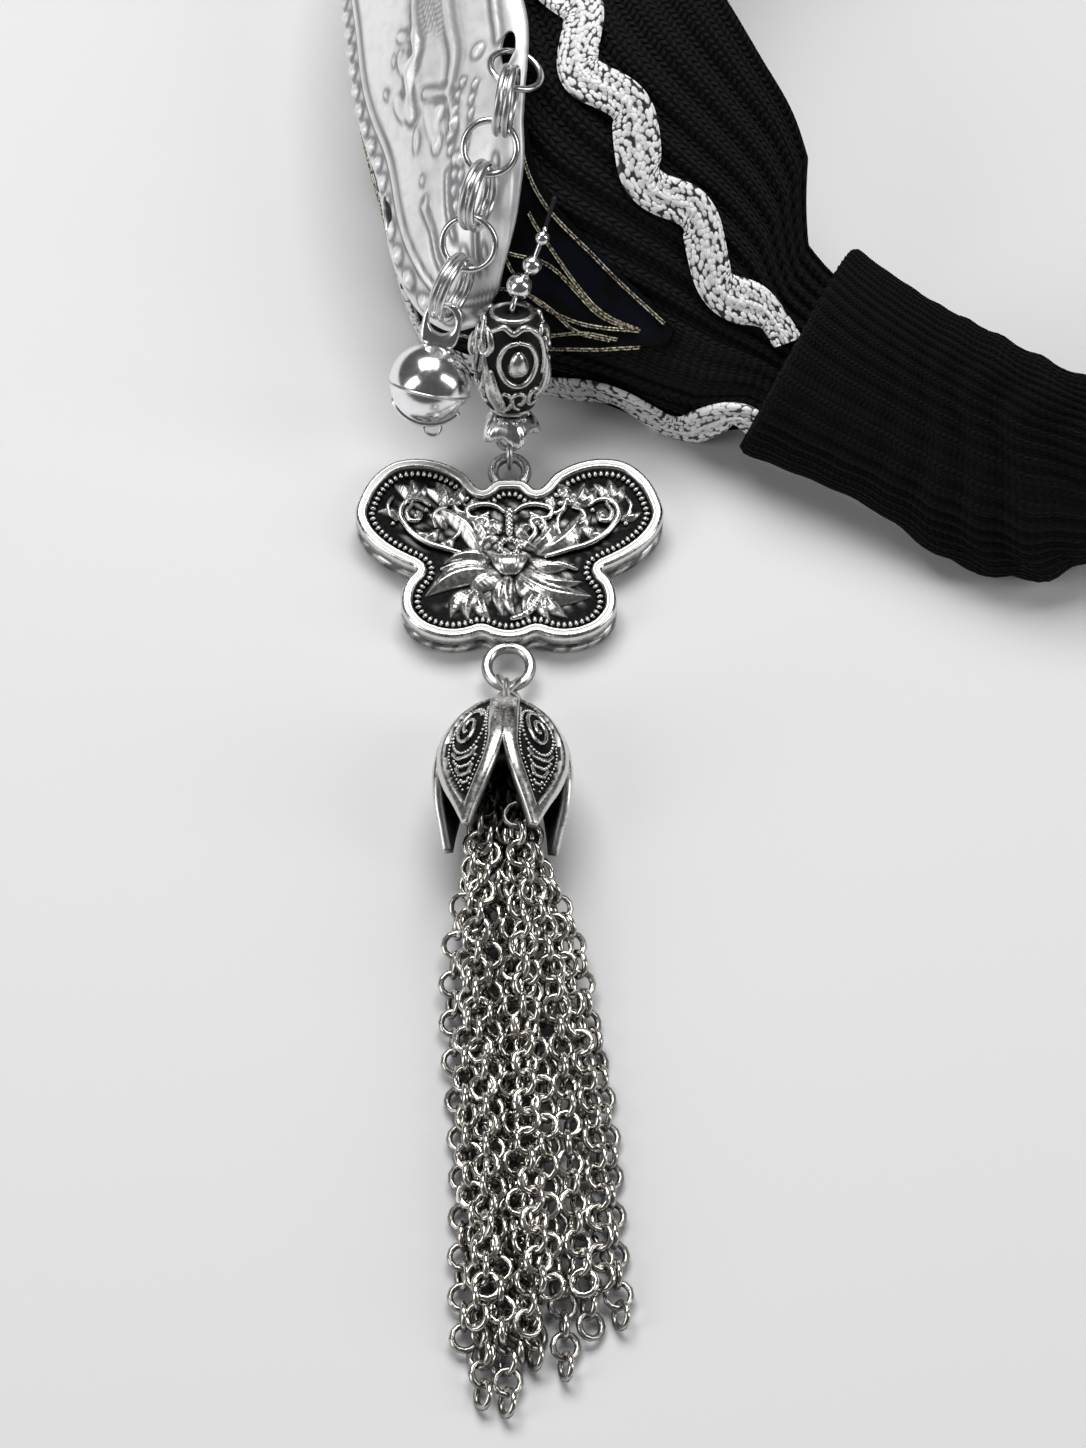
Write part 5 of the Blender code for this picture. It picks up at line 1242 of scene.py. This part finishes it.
# The casting's flank from its foot up: inset, height and tone, with a dark groove between two walls. Then
# its rim from the flank over to the field: inset, height under the top and tone, with a shallow groove
# along it.
FIELD_HEIGHT = BUTTERFLY_THICKNESS - FIELD_DEPTH
FLANK = ((2.2, 0.35, 0.3), (0.7, 0.0, 0.5), (0.15, 0.15, 0.6), (0.0, 0.5, 0.9), (0.0, 1.5, 0.95),
         (0.2, 1.75, 0.8), (0.75, 1.9, 0.1), (0.8, 2.4, 0.02), (0.25, 2.6, 0.4), (0.0, 2.8, 1.0))
RIM = ((0.0, 0.5, 1.0), (0.16, 0.16, 1.0), (0.45, 0.0, 0.95), (0.62, 0.02, 0.5), (0.86, 0.1, 0.38),
       (1.02, 0.06, 0.5), (1.16, 0.0, 1.0), (RIM_WIDTH, 0.12, 0.9), (RIM_WIDTH + 0.14, 0.5, 0.15),
       (RIM_WIDTH + 0.25, FIELD_DEPTH, 0.02))


def butterfly_outline():
    """The outline as one smooth closed line of 300 evenly spaced points."""
    half = np.array(BUTTERFLY_OUTLINE) * (BUTTERFLY_WIDTH / 2, BUTTERFLY_HEIGHT / 2)
    ring = np.vstack([half, half[-2:0:-1] * (-1, 1)])
    wrapped = np.vstack([ring[-3:], ring, ring[:4]])
    run = run_along(wrapped)
    fine = read_rows(np.column_stack([run, wrapped]), np.linspace(run[3], run[-4], 3000))
    return even_path(fine, 301)[:-1]


def around_of(ring):
    """From the point before to the point after, for each point of a closed line."""
    return np.roll(ring, -1, axis=0) - np.roll(ring, 1, axis=0)


def inset(outline, distance):
    """The outline drawn in along its own normals, evened so that notches stay clean."""
    ahead = around_of(outline)
    normal = unit(np.stack([ahead[:, 1], -ahead[:, 0]], axis=1))
    for _ in range(4):
        normal = unit(normal + np.roll(normal, 1, axis=0) + np.roll(normal, -1, axis=0))
    return outline + normal * distance


def place_on(flat, height):
    """Places round the butterfly's middle, lifted to a height above the floor."""
    flat = np.asarray(flat, float) + BUTTERFLY_PLACE
    return np.concatenate([flat, np.broadcast_to(height, flat.shape[:-1])[..., None]], axis=-1)


def leaf(root, tip, wide, tall):
    """A pointed leaf, arched from root to tip, with a keel and fine veins pressed in."""
    run = np.linspace(0, 1, 26)[:, None]
    side = np.linspace(-1, 1, 13)[None]
    across = unit(np.array((tip[1] - root[1], root[0] - tip[0])))
    breadth = 1.15 * wide * np.sin(math.pi * run ** 0.8) ** 0.75 + 0.02
    bow = 0.14 * np.linalg.norm(tip - root) * np.sin(math.pi * run)
    flat = root + run[..., None] * (tip - root) + (side * breadth + bow)[..., None] * across
    arch = np.sin(math.pi * run) ** 0.6
    veins = 0.1 * np.abs(np.sin(9 * math.pi * run + 3.2 * np.abs(side)))
    keel = 0.12 * np.exp(-(side / 0.16) ** 2)
    height = 1.2 * tall * arch * (1 - 0.75 * side ** 2 + keel - veins * (np.abs(side) > 0.1))
    tone = 0.35 + 0.65 * ease(arch * (1 - 0.85 * side ** 2) - 3.2 * veins * arch + 0.3)
    return lying(flat, height, -0.15, tone, 0.1)


def lying(flat, height, foot, tone, foot_tone):
    """A form on the butterfly's field: its top at heights over the field and a flat foot under it."""
    top = place_on(flat, FIELD_HEIGHT + height)
    under = place_on(flat[:, ::-1], FIELD_HEIGHT + foot)
    tone = np.concatenate([tone, np.full(tone.shape, foot_tone)], axis=1)
    return patch(np.concatenate([top, under], axis=1), tone=tone)


def casting():
    """The body: flank and rim follow the outline at their insets, the flank blotched by sines of the place
    round it, and the field between is dark and gently mottled."""
    outline = butterfly_outline()
    place = spin(len(outline))
    foot = inset(outline, 2.2)
    rows = [place_on(foot * scale, 0.35) for scale in np.linspace(0, 0.97, 12)]
    tone = [0.4] * 12
    for index, (distance, height, bright) in enumerate(FLANK):
        blotch = ease((np.sin(31 * place + index) * np.sin(13 * place + 2 * np.sin(5 * place)) + 0.25) / 0.5)
        rows.append(place_on(inset(outline, distance), height))
        tone.append(bright * (0.25 + 0.75 * blotch))
    for distance, depth, bright in RIM:
        rows.append(place_on(inset(outline, distance), BUTTERFLY_THICKNESS - depth))
        tone.append(bright)
    field = inset(outline, RIM_WIDTH + 0.25)
    for scale in np.linspace(0.97, 0, 22):
        x, y = (field * scale).T
        mottle = ease(np.sin(1.7 * x + 2 * np.sin(y)) * np.sin(2.1 * y + 1.3 * x))
        rows.append(place_on(field * scale, FIELD_HEIGHT + 0.12 * mottle))
        tone.append(0.3 * mottle * ease((0.86 - scale) / 0.15))
    return patch(rows, tone=np.array([np.broadcast_to(bright, len(outline)) for bright in tone]))


def butterfly():
    """The casting, a row of beads inside its rim, both wings' wires, leaves and domes, the moth in the
    middle and the loops above and below."""
    pieces = [casting()]
    ring = inset(butterfly_outline(), DOT_INSET)
    closed = np.vstack([ring, ring[:1]])
    dots = even_path(closed, int(run_along(closed)[-1] / BEAD_PITCH) + 1)[:-1]
    for dot, (east, north) in zip(place_on(dots, FIELD_HEIGHT + 0.42), around_of(dots)):
        pieces.append(dome(dot, 0.3, (north, -east, 0), 1.5, around=8, rings=3))
    bow = FIELD_HEIGHT + 0.3 + 0.35 * np.sin(np.linspace(0, math.pi, 40))
    taper = 0.6 + 0.4 * np.sin(np.linspace(0.2, math.pi, 40))
    for flip in (np.array((1, 1)), np.array((-1, 1))):
        for radius, places in WING_WIRES:
            path = smooth_path(np.array(places) * flip, 40)
            pieces.append(swept(place_on(path, bow), (0, 0, 1), radius * taper, 10))
        for root, tip, wide, tall in WING_LEAVES:
            pieces.append(leaf(np.array(root) * flip, np.array(tip) * flip, wide, tall))
        for side, rise, radius in WING_BEADS:
            spot = place_on(np.array((side, rise)) * flip, FIELD_HEIGHT + 0.25)
            pieces.append(dome(spot, radius, around=14, rings=7))
    pieces += moth()
    for share, radius in (TOP_LOOP, BOTTOM_LOOP):
        place = place_on((0.0, share * BUTTERFLY_HEIGHT), LOOP_HEIGHT)
        pieces += hoop(place, (0, 0, 1), radius - 0.1, LOOP_WIRE + 0.2, 64, 16)
        pieces += hoop(place + (0, 0, 0.5), (0, 0, 1), radius + 0.1, 0.5, 64, 8)
    make("engraved_butterfly", pieces, ANTIQUE, ["butterfly"])


def moth():
    """The middle: a ringed body, a dark hole in a collar, a bud that points down, and a curved ringed
    pod."""
    chance = np.random.default_rng(5)
    pieces = []
    for index, rise in enumerate(np.linspace(5.2, 2.0, 6)):
        spot = place_on((0.0, rise), FIELD_HEIGHT + 0.75)
        pieces.append(dome(spot, 0.62 - 0.03 * index, tall=0.8, around=16, rings=8))
    for angle in spin(9):
        spot = place_on((1.25 * math.cos(angle), 1.15 * math.sin(angle)), FIELD_HEIGHT + 0.45)
        pieces.append(dome(spot, 0.5 + 0.08 * chance.random(), around=12, rings=6))
    run = np.linspace(0, 1, 30)[:, None]
    side = np.linspace(-1, 1, 25)[None]
    breadth = 2.35 * np.sqrt(np.clip(1 - (np.abs(run - 0.18) / 0.83) ** 1.7, 0, 1)) + 0.02
    flat = np.stack([side * breadth, -1.15 - 2.9 * run + 0.45 * np.abs(side) ** 3 * (1 - run)], axis=2)
    ridge = 0.09 * np.abs(np.cos(5 * math.pi * side * (1 - 0.4 * run)))
    height = 0.2 + (1.25 - ridge) * np.sin(math.pi * (0.12 + 0.84 * run)) ** 0.6 * (1 - 0.5 * side ** 2)
    pieces.append(lying(flat, height, -0.1, 0.45 + 0.55 * ease(4 * ridge / 0.36 + 0.2), 0.0))
    path = smooth_path(((3.6, -5.4), (4.0, -6.9), (3.2, -8.7), (1.8, -9.9), (0.2, -10.5)), 60)
    rings = 0.82 + 0.18 * np.abs(np.sin(np.linspace(0, 9 * math.pi, 60)))
    swell = 0.62 * np.sin(np.linspace(0.35, math.pi - 0.15, 60)) ** 0.5 * rings
    pieces.append(swept(place_on(path, FIELD_HEIGHT + 0.5), (0, 0, 1), swell, 14))
    return pieces


# Tulip cap
CAP_TOP = np.array((-4.68, -1.083, 7.881))
CAP_MOUTH = np.array((-5.282, -21.125, 9.284))
CAP_EYE = np.array((-4.623, 0.811, 7.748))
CAP_RADIUS = 8.4
CAP_WALL = 0.8
CAP_PETALS = 5
CAP_OUTLINE = (
    (0.0, 0.22), (0.03, 0.36), (0.12, 0.62), (0.28, 0.88), (0.48, 1.0), (0.68, 0.97), (0.84, 0.89),
    (1.0, 0.84),
)
GAP_OUTLINE = (
    (0.0, -0.05), (0.41, -0.03), (0.485, 0.0), (0.56, 0.04), (0.7, 0.16), (0.85, 0.32), (1.0, 0.46),
)
CAP_RIM = 1.85
PANEL_SINK = 0.55
PANEL_WIRES = ((0.555, 2.0), (0.665, 1.35))
PANEL_GRAINS = ((0.61, 1.75), (0.715, 0.9))
CAP_LENGTH = np.linalg.norm(CAP_MOUTH - CAP_TOP)
CAP_AXIS = unit(CAP_MOUTH - CAP_TOP)
CAP_FIRST = square_to(CAP_AXIS, np.array((1.0, 0, 0)))
# A turned knob on the cap: radius and height, and its tones.
CAP_KNOB = ((0.0, -0.5), (1.4, -0.45), (2.3, 0.0), (2.5, 0.7), (0.0, 0.8))
KNOB_TONES = (0.6, 0.7, 0.8, 0.5, 0.1)


def petal_reach(share):
    """The cap's radius at a share of its length, and the angle that half a petal takes: a fifth of half a
    turn, less the gap beside it and a hair where the petals part."""
    radius = CAP_RADIUS * read_one(CAP_OUTLINE, share)
    gap = CAP_RADIUS * np.maximum(read_one(GAP_OUTLINE, share), 0)
    parted = 0.01 * ease((share - 0.44) / 0.06)
    return radius, math.pi / CAP_PETALS - np.arcsin(np.clip(gap / radius, 0, 0.6)) - parted


def on_cap(petal, side, share, lift=0.0):
    """A place on a petal: side runs from -1 to 1 between its edges, share from the cap's top to its
    mouth."""
    side, share, lift = np.broadcast_arrays(np.asarray(side, float), share, lift)
    radius, half = petal_reach(share)
    turn = TURN * (petal + 0.5) / CAP_PETALS + math.pi / 2 + side * half
    out = out_at(turn[..., None], CAP_FIRST, np.cross(CAP_AXIS, CAP_FIRST))
    return CAP_TOP + (share * CAP_LENGTH)[..., None] * CAP_AXIS + (radius + lift)[..., None] * out


def over_petal(petal, across, share, lift):
    """Points over a petal at millimetres across and shares down, with the way out."""
    radius, half = petal_reach(share)
    return standing(on_cap, petal, across / np.maximum(half * radius, 0.5), share, lift=lift)


def petal_wire(petal, places, count, lift, radius, lobes, lay):
    """Twisted wire over a petal along places by millimetres across and share down."""
    path = smooth_path(places, count)
    line, up = over_petal(petal, path[:, 0], path[:, 1], lift)
    return swept(line, up, radius, 8, lobes=lobes, lay=lay)


def grains(petal, places, radius):
    """A granule at each place, standing in the sunk panel."""
    across, share = np.asarray(places, float).T
    spots, out = over_petal(petal, across, share, 0.12 - PANEL_SINK)
    return [dome(spot, radius, way, 1.1, 7, 3) for spot, way in zip(spots, out)]


def bowl_arc(drop, wide):
    """A bowl-shaped line over a panel: its lowest place at drop, its ends wide apart and higher."""
    return [(-wide, drop - 0.055), (-0.6 * wide, drop - 0.012), (0.0, drop), (0.6 * wide, drop - 0.012),
            (wide, drop - 0.055)]


def petal_sheet(petal):
    """A curved sheet: its border is a half round of CAP_RIM across, lower between petals near the top where
    they are one, and inside the border the panel is sunk."""
    share = np.linspace(0.0, 0.985, 84)[:, None]
    side = np.linspace(-1, 1, 45)[None]
    radius, half = petal_reach(share)
    tip = (1.0 - share) * CAP_LENGTH + 0.1
    edge = np.minimum((1 - np.abs(side)) * (half * radius), tip * 0.55)
    edge = np.minimum(edge, share * CAP_LENGTH * 0.9 + 0.9)
    border = np.sqrt(np.clip(1 - ((edge - CAP_RIM / 2) / (CAP_RIM / 2)) ** 2, 0, 1))
    apart = 0.2 + 0.8 * ease((share - 0.41) / 0.12)
    border = np.where(edge < CAP_RIM / 2, 1 - (1 - border) * apart, border)
    outer = on_cap(petal, side, share, 0.45 * border ** 0.8 - PANEL_SINK * ease((edge - CAP_RIM) / 0.25))
    inner = on_cap(petal, side[:, ::-4], share, -CAP_WALL)
    tone = np.where(edge < CAP_RIM + 0.02, 0.75 + 0.25 * border, 0.02)
    tone = np.concatenate([tone, 0.12 * np.ones(inner.shape[:2])], axis=1)
    rows = np.concatenate([outer, inner], axis=1)
    ends = [np.broadcast_to(row.mean(axis=0), (1, *row.shape)) for row in (rows[0], rows[-1])]
    return patch(np.concatenate([ends[0], rows, ends[1]]), tone=np.pad(tone, ((1, 1), (0, 0)), mode="edge"))


def tulip_cap():
    """Five petals, and in the panel of each a spiral of twisted wire in an oval of granules, bowl-shaped
    wires and granules under it and a row of granules beside the border. A turned knob and an eye stand on
    top."""
    pieces = []
    for petal in range(CAP_PETALS):
        pieces.append(petal_sheet(petal))
        hand = 1 if petal % 2 else -1
        run = np.linspace(0, 1, 60)
        curl = TURN * 1.7 * run + 0.6
        reach = 2.05 * (1 - run) + 0.35
        spiral = (hand * reach * np.cos(curl) * 0.8, 0.335 - reach * np.sin(curl) * 1.3 / CAP_LENGTH)
        pieces.append(petal_wire(petal, np.stack(spiral, axis=1), 120, -0.32, 0.27, 4, 3.4))
        for drop, wide in PANEL_WIRES:
            pieces.append(petal_wire(petal, bowl_arc(drop, wide), 40, -0.34, 0.24, 2, 3.0))
        for drop, wide in PANEL_GRAINS:
            count = 2 * int(round(wide / 0.34)) + 1
            pieces += grains(petal, smooth_path(bowl_arc(drop, wide), count), 0.25)
        angle = spin(34)
        oval = np.stack([2.45 * np.cos(angle), 0.345 + 3.55 * np.sin(angle) / CAP_LENGTH], axis=1)
        pieces += grains(petal, oval, 0.24)
        down = np.arange(0.16, 0.80, 0.026)
        radius, half = petal_reach(down)
        reach = np.minimum(half * radius, (1 - down) * 11) - CAP_RIM - 0.35
        beside = np.stack([reach, down], axis=1)[reach > 0.25]
        pieces += grains(petal, np.stack([beside, beside * (-1, 1)], axis=1).reshape(-1, 2), 0.2)
    pieces.append(turned(CAP_KNOB, CAP_TOP, CAP_AXIS, 32, KNOB_TONES))
    pieces += hoop(CAP_EYE, (1.0, 0, 0), EYE_RADIUS, SMALL_WIRE, 40, 12)
    make("filigree_tulip", pieces, ANTIQUE, ["tulip_cap"])


# Chain tassel: the part's twelve strands and five more between them, by side and lift at the mouth, side at
# mid length, side and reach at the end, and layer on the floor.
STRAND_RADIUS = 1.5
STRAND_LENGTH = 68.5
TASSEL_STRANDS = (
    (-4.6, -0.8, -5.4, -3.6, 0.90, 0.0), (-2.9, -2.9, -2.9, -1.4, 0.97, 0.0),
    (-0.6, -3.6, -0.2, 0.9, 1.00, 0.0), (1.7, -3.4, 2.6, 4.2, 0.93, 0.0), (3.8, -2.4, 5.4, 7.7, 0.92, 0.0),
    (5.0, -0.4, 8.3, 11.2, 0.85, 0.0), (6.0, 1.8, 11.2, 14.8, 0.84, 0.0),
    (-3.4, 1.6, -4.0, -2.6, 0.84, 1.0), (-1.2, -0.6, -1.4, 0.4, 0.88, 1.0),
    (1.2, -0.6, 1.4, 3.2, 0.86, 1.0), (2.6, 1.4, 4.2, 6.6, 0.82, 1.0), (3.6, 3.6, 7.0, 10.0, 0.80, 1.0),
    (-4.0, -1.6, -4.2, -2.2, 0.93, 0.0), (0.6, -2.6, 1.0, 2.6, 0.90, 0.0), (4.6, 0.8, 9.6, 12.8, 0.80, 0.6),
    (-2.2, 1.0, -2.6, -1.0, 0.80, 1.4), (2.0, 0.6, 2.8, 4.8, 0.78, 1.4),
)
LINK_PITCH = 2.45
LINK_SIZE = 3.9
LINK_WIRE = 0.82
LINK_LEAN = 10.0
LINK_TWIST = 78.0
TASSEL_HEAD = CAP_TOP + 0.42 * (CAP_MOUTH - CAP_TOP)


def strand_route(side, lift, middle, end, reach, layer):
    """A strand's line: out of the cap, down to the floor and along it."""
    x, y, z = CAP_MOUTH
    rest = STRAND_RADIUS + layer * STRAND_RADIUS * 1.72
    far = STRAND_LENGTH * reach
    places = (TASSEL_HEAD + (side * 0.5, 0, lift * 0.4), (x + side * 0.62, y + 2.0, z + lift * 0.8 - 1.6),
              (x + 0.5 * (side + middle), y - 9, max(rest, rest + 2.2 + lift * 0.4)),
              (x + middle, y - far * 0.42, rest), (x + 0.45 * middle + 0.55 * end, y - far * 0.68, rest),
              (x + end, y - far, rest))
    path = smooth_path(places, 240)
    run = run_along(path)
    path[:, 2] = np.where(run > 0.25 * run[-1], np.maximum(path[:, 2], rest), path[:, 2])
    return path


def rolo_link():
    """A round link, flat on its back: its points, and the direction in which the wire faces at each."""
    turn = spin(12)[:, None, None]
    wire = (spin(6) + TURN / 12)[None, :, None]
    out = out_at(turn, np.array((1.0, 0, 0)), np.array((0, 1.0, 0)))
    facing = out_at(wire, out, np.array((0, 0, 1.0)))
    return (LINK_SIZE - LINK_WIRE) / 2 * out + LINK_WIRE / 2 * facing, facing


def tassel():
    """Rolo chains: links a pitch apart along each strand, every other one turned by LINK_TWIST degrees,
    with seeded chance in turn and tilt. A link is painted with a highlight where its wire faces up and with
    shade where it faces down, where it lies deep or where it lies in the cap."""
    chance = np.random.default_rng(11)
    shape, facing = rolo_link()
    links = []
    for index, row in enumerate(TASSEL_STRANDS):
        path = strand_route(*row)
        run = run_along(path)
        steps = np.arange((0.3 + chance.random()) * LINK_PITCH, run[-1], LINK_PITCH)
        sway = 0.35 * np.sin(steps / (5.5 + 2 * chance.random()) + TURN * chance.random())
        spots = at_steps(path, run, steps)
        ahead = unit(np.gradient(spots, axis=0))
        across = unit(np.cross(ahead, (0, 0, 1.0)))
        spots = spots + sway[:, None] * across
        lean = np.where((np.arange(len(steps)) + index) % 2, LINK_LEAN, LINK_LEAN - LINK_TWIST)
        lean = np.radians(lean + chance.normal(0, 18) + chance.normal(0, 13, len(steps)))
        flat = out_at(lean[:, None], across, np.cross(across, ahead))
        tilt = unit(ahead + 0.12 * chance.normal(0, 1, (len(steps), 1)) * flat)
        normal = unit(np.cross(tilt, flat))
        for spot, axes in zip(spots, np.stack([tilt, np.cross(normal, tilt), normal], axis=1)):
            points = spot + shape @ axes
            points[..., 2] += max(0.0, 0.03 - points[..., 2].min())
            # Painted light: up paints a highlight where the wire faces up and shade where it faces down, high
            # paints shade on links low in the pile, and inside paints shade on links in the cap.
            up = ease(((facing @ axes)[..., 2] + 0.15) / 0.8)
            high = 0.35 + 0.65 * ease(points[..., 2] / 4.2)
            inside = ease((points[..., 1].max() - CAP_MOUTH[1] - 2.5) / 5)
            links.append(patch(points, loop=True, tone=up * high * (1 - 0.95 * inside)))
    # A dark disc in the cap's mouth, at tone 0.1: painted shade where the inside of the cap is.
    dark_shade_disc = ((0.0, -1.0), (3.6, -1.0), (4.2, -0.5), (4.2, 0.5), (3.6, 1.0), (0.0, 1.0))
    links.append(turned(dark_shade_disc, TASSEL_HEAD, CAP_AXIS, 32, 0.1))
    make("rolo_tassel", links, NICKEL, ["tassel_chains"])


# Camera, light and floor
DISTANCE = 430.0
RISE = 65.0
SENSOR = 36
FOCAL = 3350.0 / 1448 * SENSOR
FLOOR_SIZE = 3
# Softboxes in metres: place, aim, size and power.
LAMPS = {"key": ((-0.1, 0.35, 0.75), (-0.06, 0.0, 0.0), (0.62, 0.42), 6.3),
         "fill": ((-0.8, -0.35, 0.5), (-0.06, -0.05, 0.0), (0.35, 0.8), 2.4),
         "edge": ((0.75, -0.2, 0.55), (-0.06, -0.05, 0.0), (0.25, 0.8), 2.3)}


def camera():
    """The one camera that the photograph was matched with."""
    lens = bpy.data.cameras.new("camera")
    lens.lens = FOCAL
    lens.sensor_width = SENSOR
    lens.clip_start = 0.01
    made = show("camera", lens)
    rise = math.radians(RISE)
    made.location = (np.array((0, -math.cos(rise), math.sin(rise))) * DISTANCE + SHIFT) * MM
    made.rotation_euler = (math.radians(90 - RISE), 0, 0)
    bpy.context.scene.camera = made


def studio():
    """A pale floor, three softboxes and a dim white surround."""
    mesh = bpy.data.meshes.new("floor")
    corners = [(x * FLOOR_SIZE, y * FLOOR_SIZE, 0) for x, y in ((-1, -1), (1, -1), (1, 1), (-1, 1))]
    mesh.from_pydata(corners, [], [(0, 1, 2, 3)])
    mesh.materials.append(finish("pale_floor", (0.79, 0.79, 0.795), 0.9))
    show("floor", mesh)
    for name, (place, aim, size, power) in LAMPS.items():
        lamp = bpy.data.lights.new(name, "AREA")
        lamp.shape = "RECTANGLE"
        lamp.size, lamp.size_y = size
        lamp.energy = power
        made = show(name, lamp)
        made.location = place
        made.rotation_euler = (Vector(place) - Vector(aim)).to_track_quat("Z", "Y").to_euler()
    world = bpy.data.worlds.new("studio")
    world.use_nodes = True
    world.node_tree.nodes["Background"].inputs[0].default_value = (1, 1, 1, 1)
    world.node_tree.nodes["Background"].inputs[1].default_value = 0.08
    bpy.context.scene.world = world
    bpy.context.scene.view_settings.view_transform = "Standard"


knit_band()
satin_panel()
couched_gold()
ricrac("upper_tinsel", UPPER_MIDDLE, "upper_ricrac")
ricrac("lower_tinsel", LOWER_MIDDLE, "lower_ricrac")
elastic_back()
silver_plate()
rings()
bell()
bead_drop()
barrel()
petal_cap()
butterfly()
tulip_cap()
tassel()
camera()
studio()
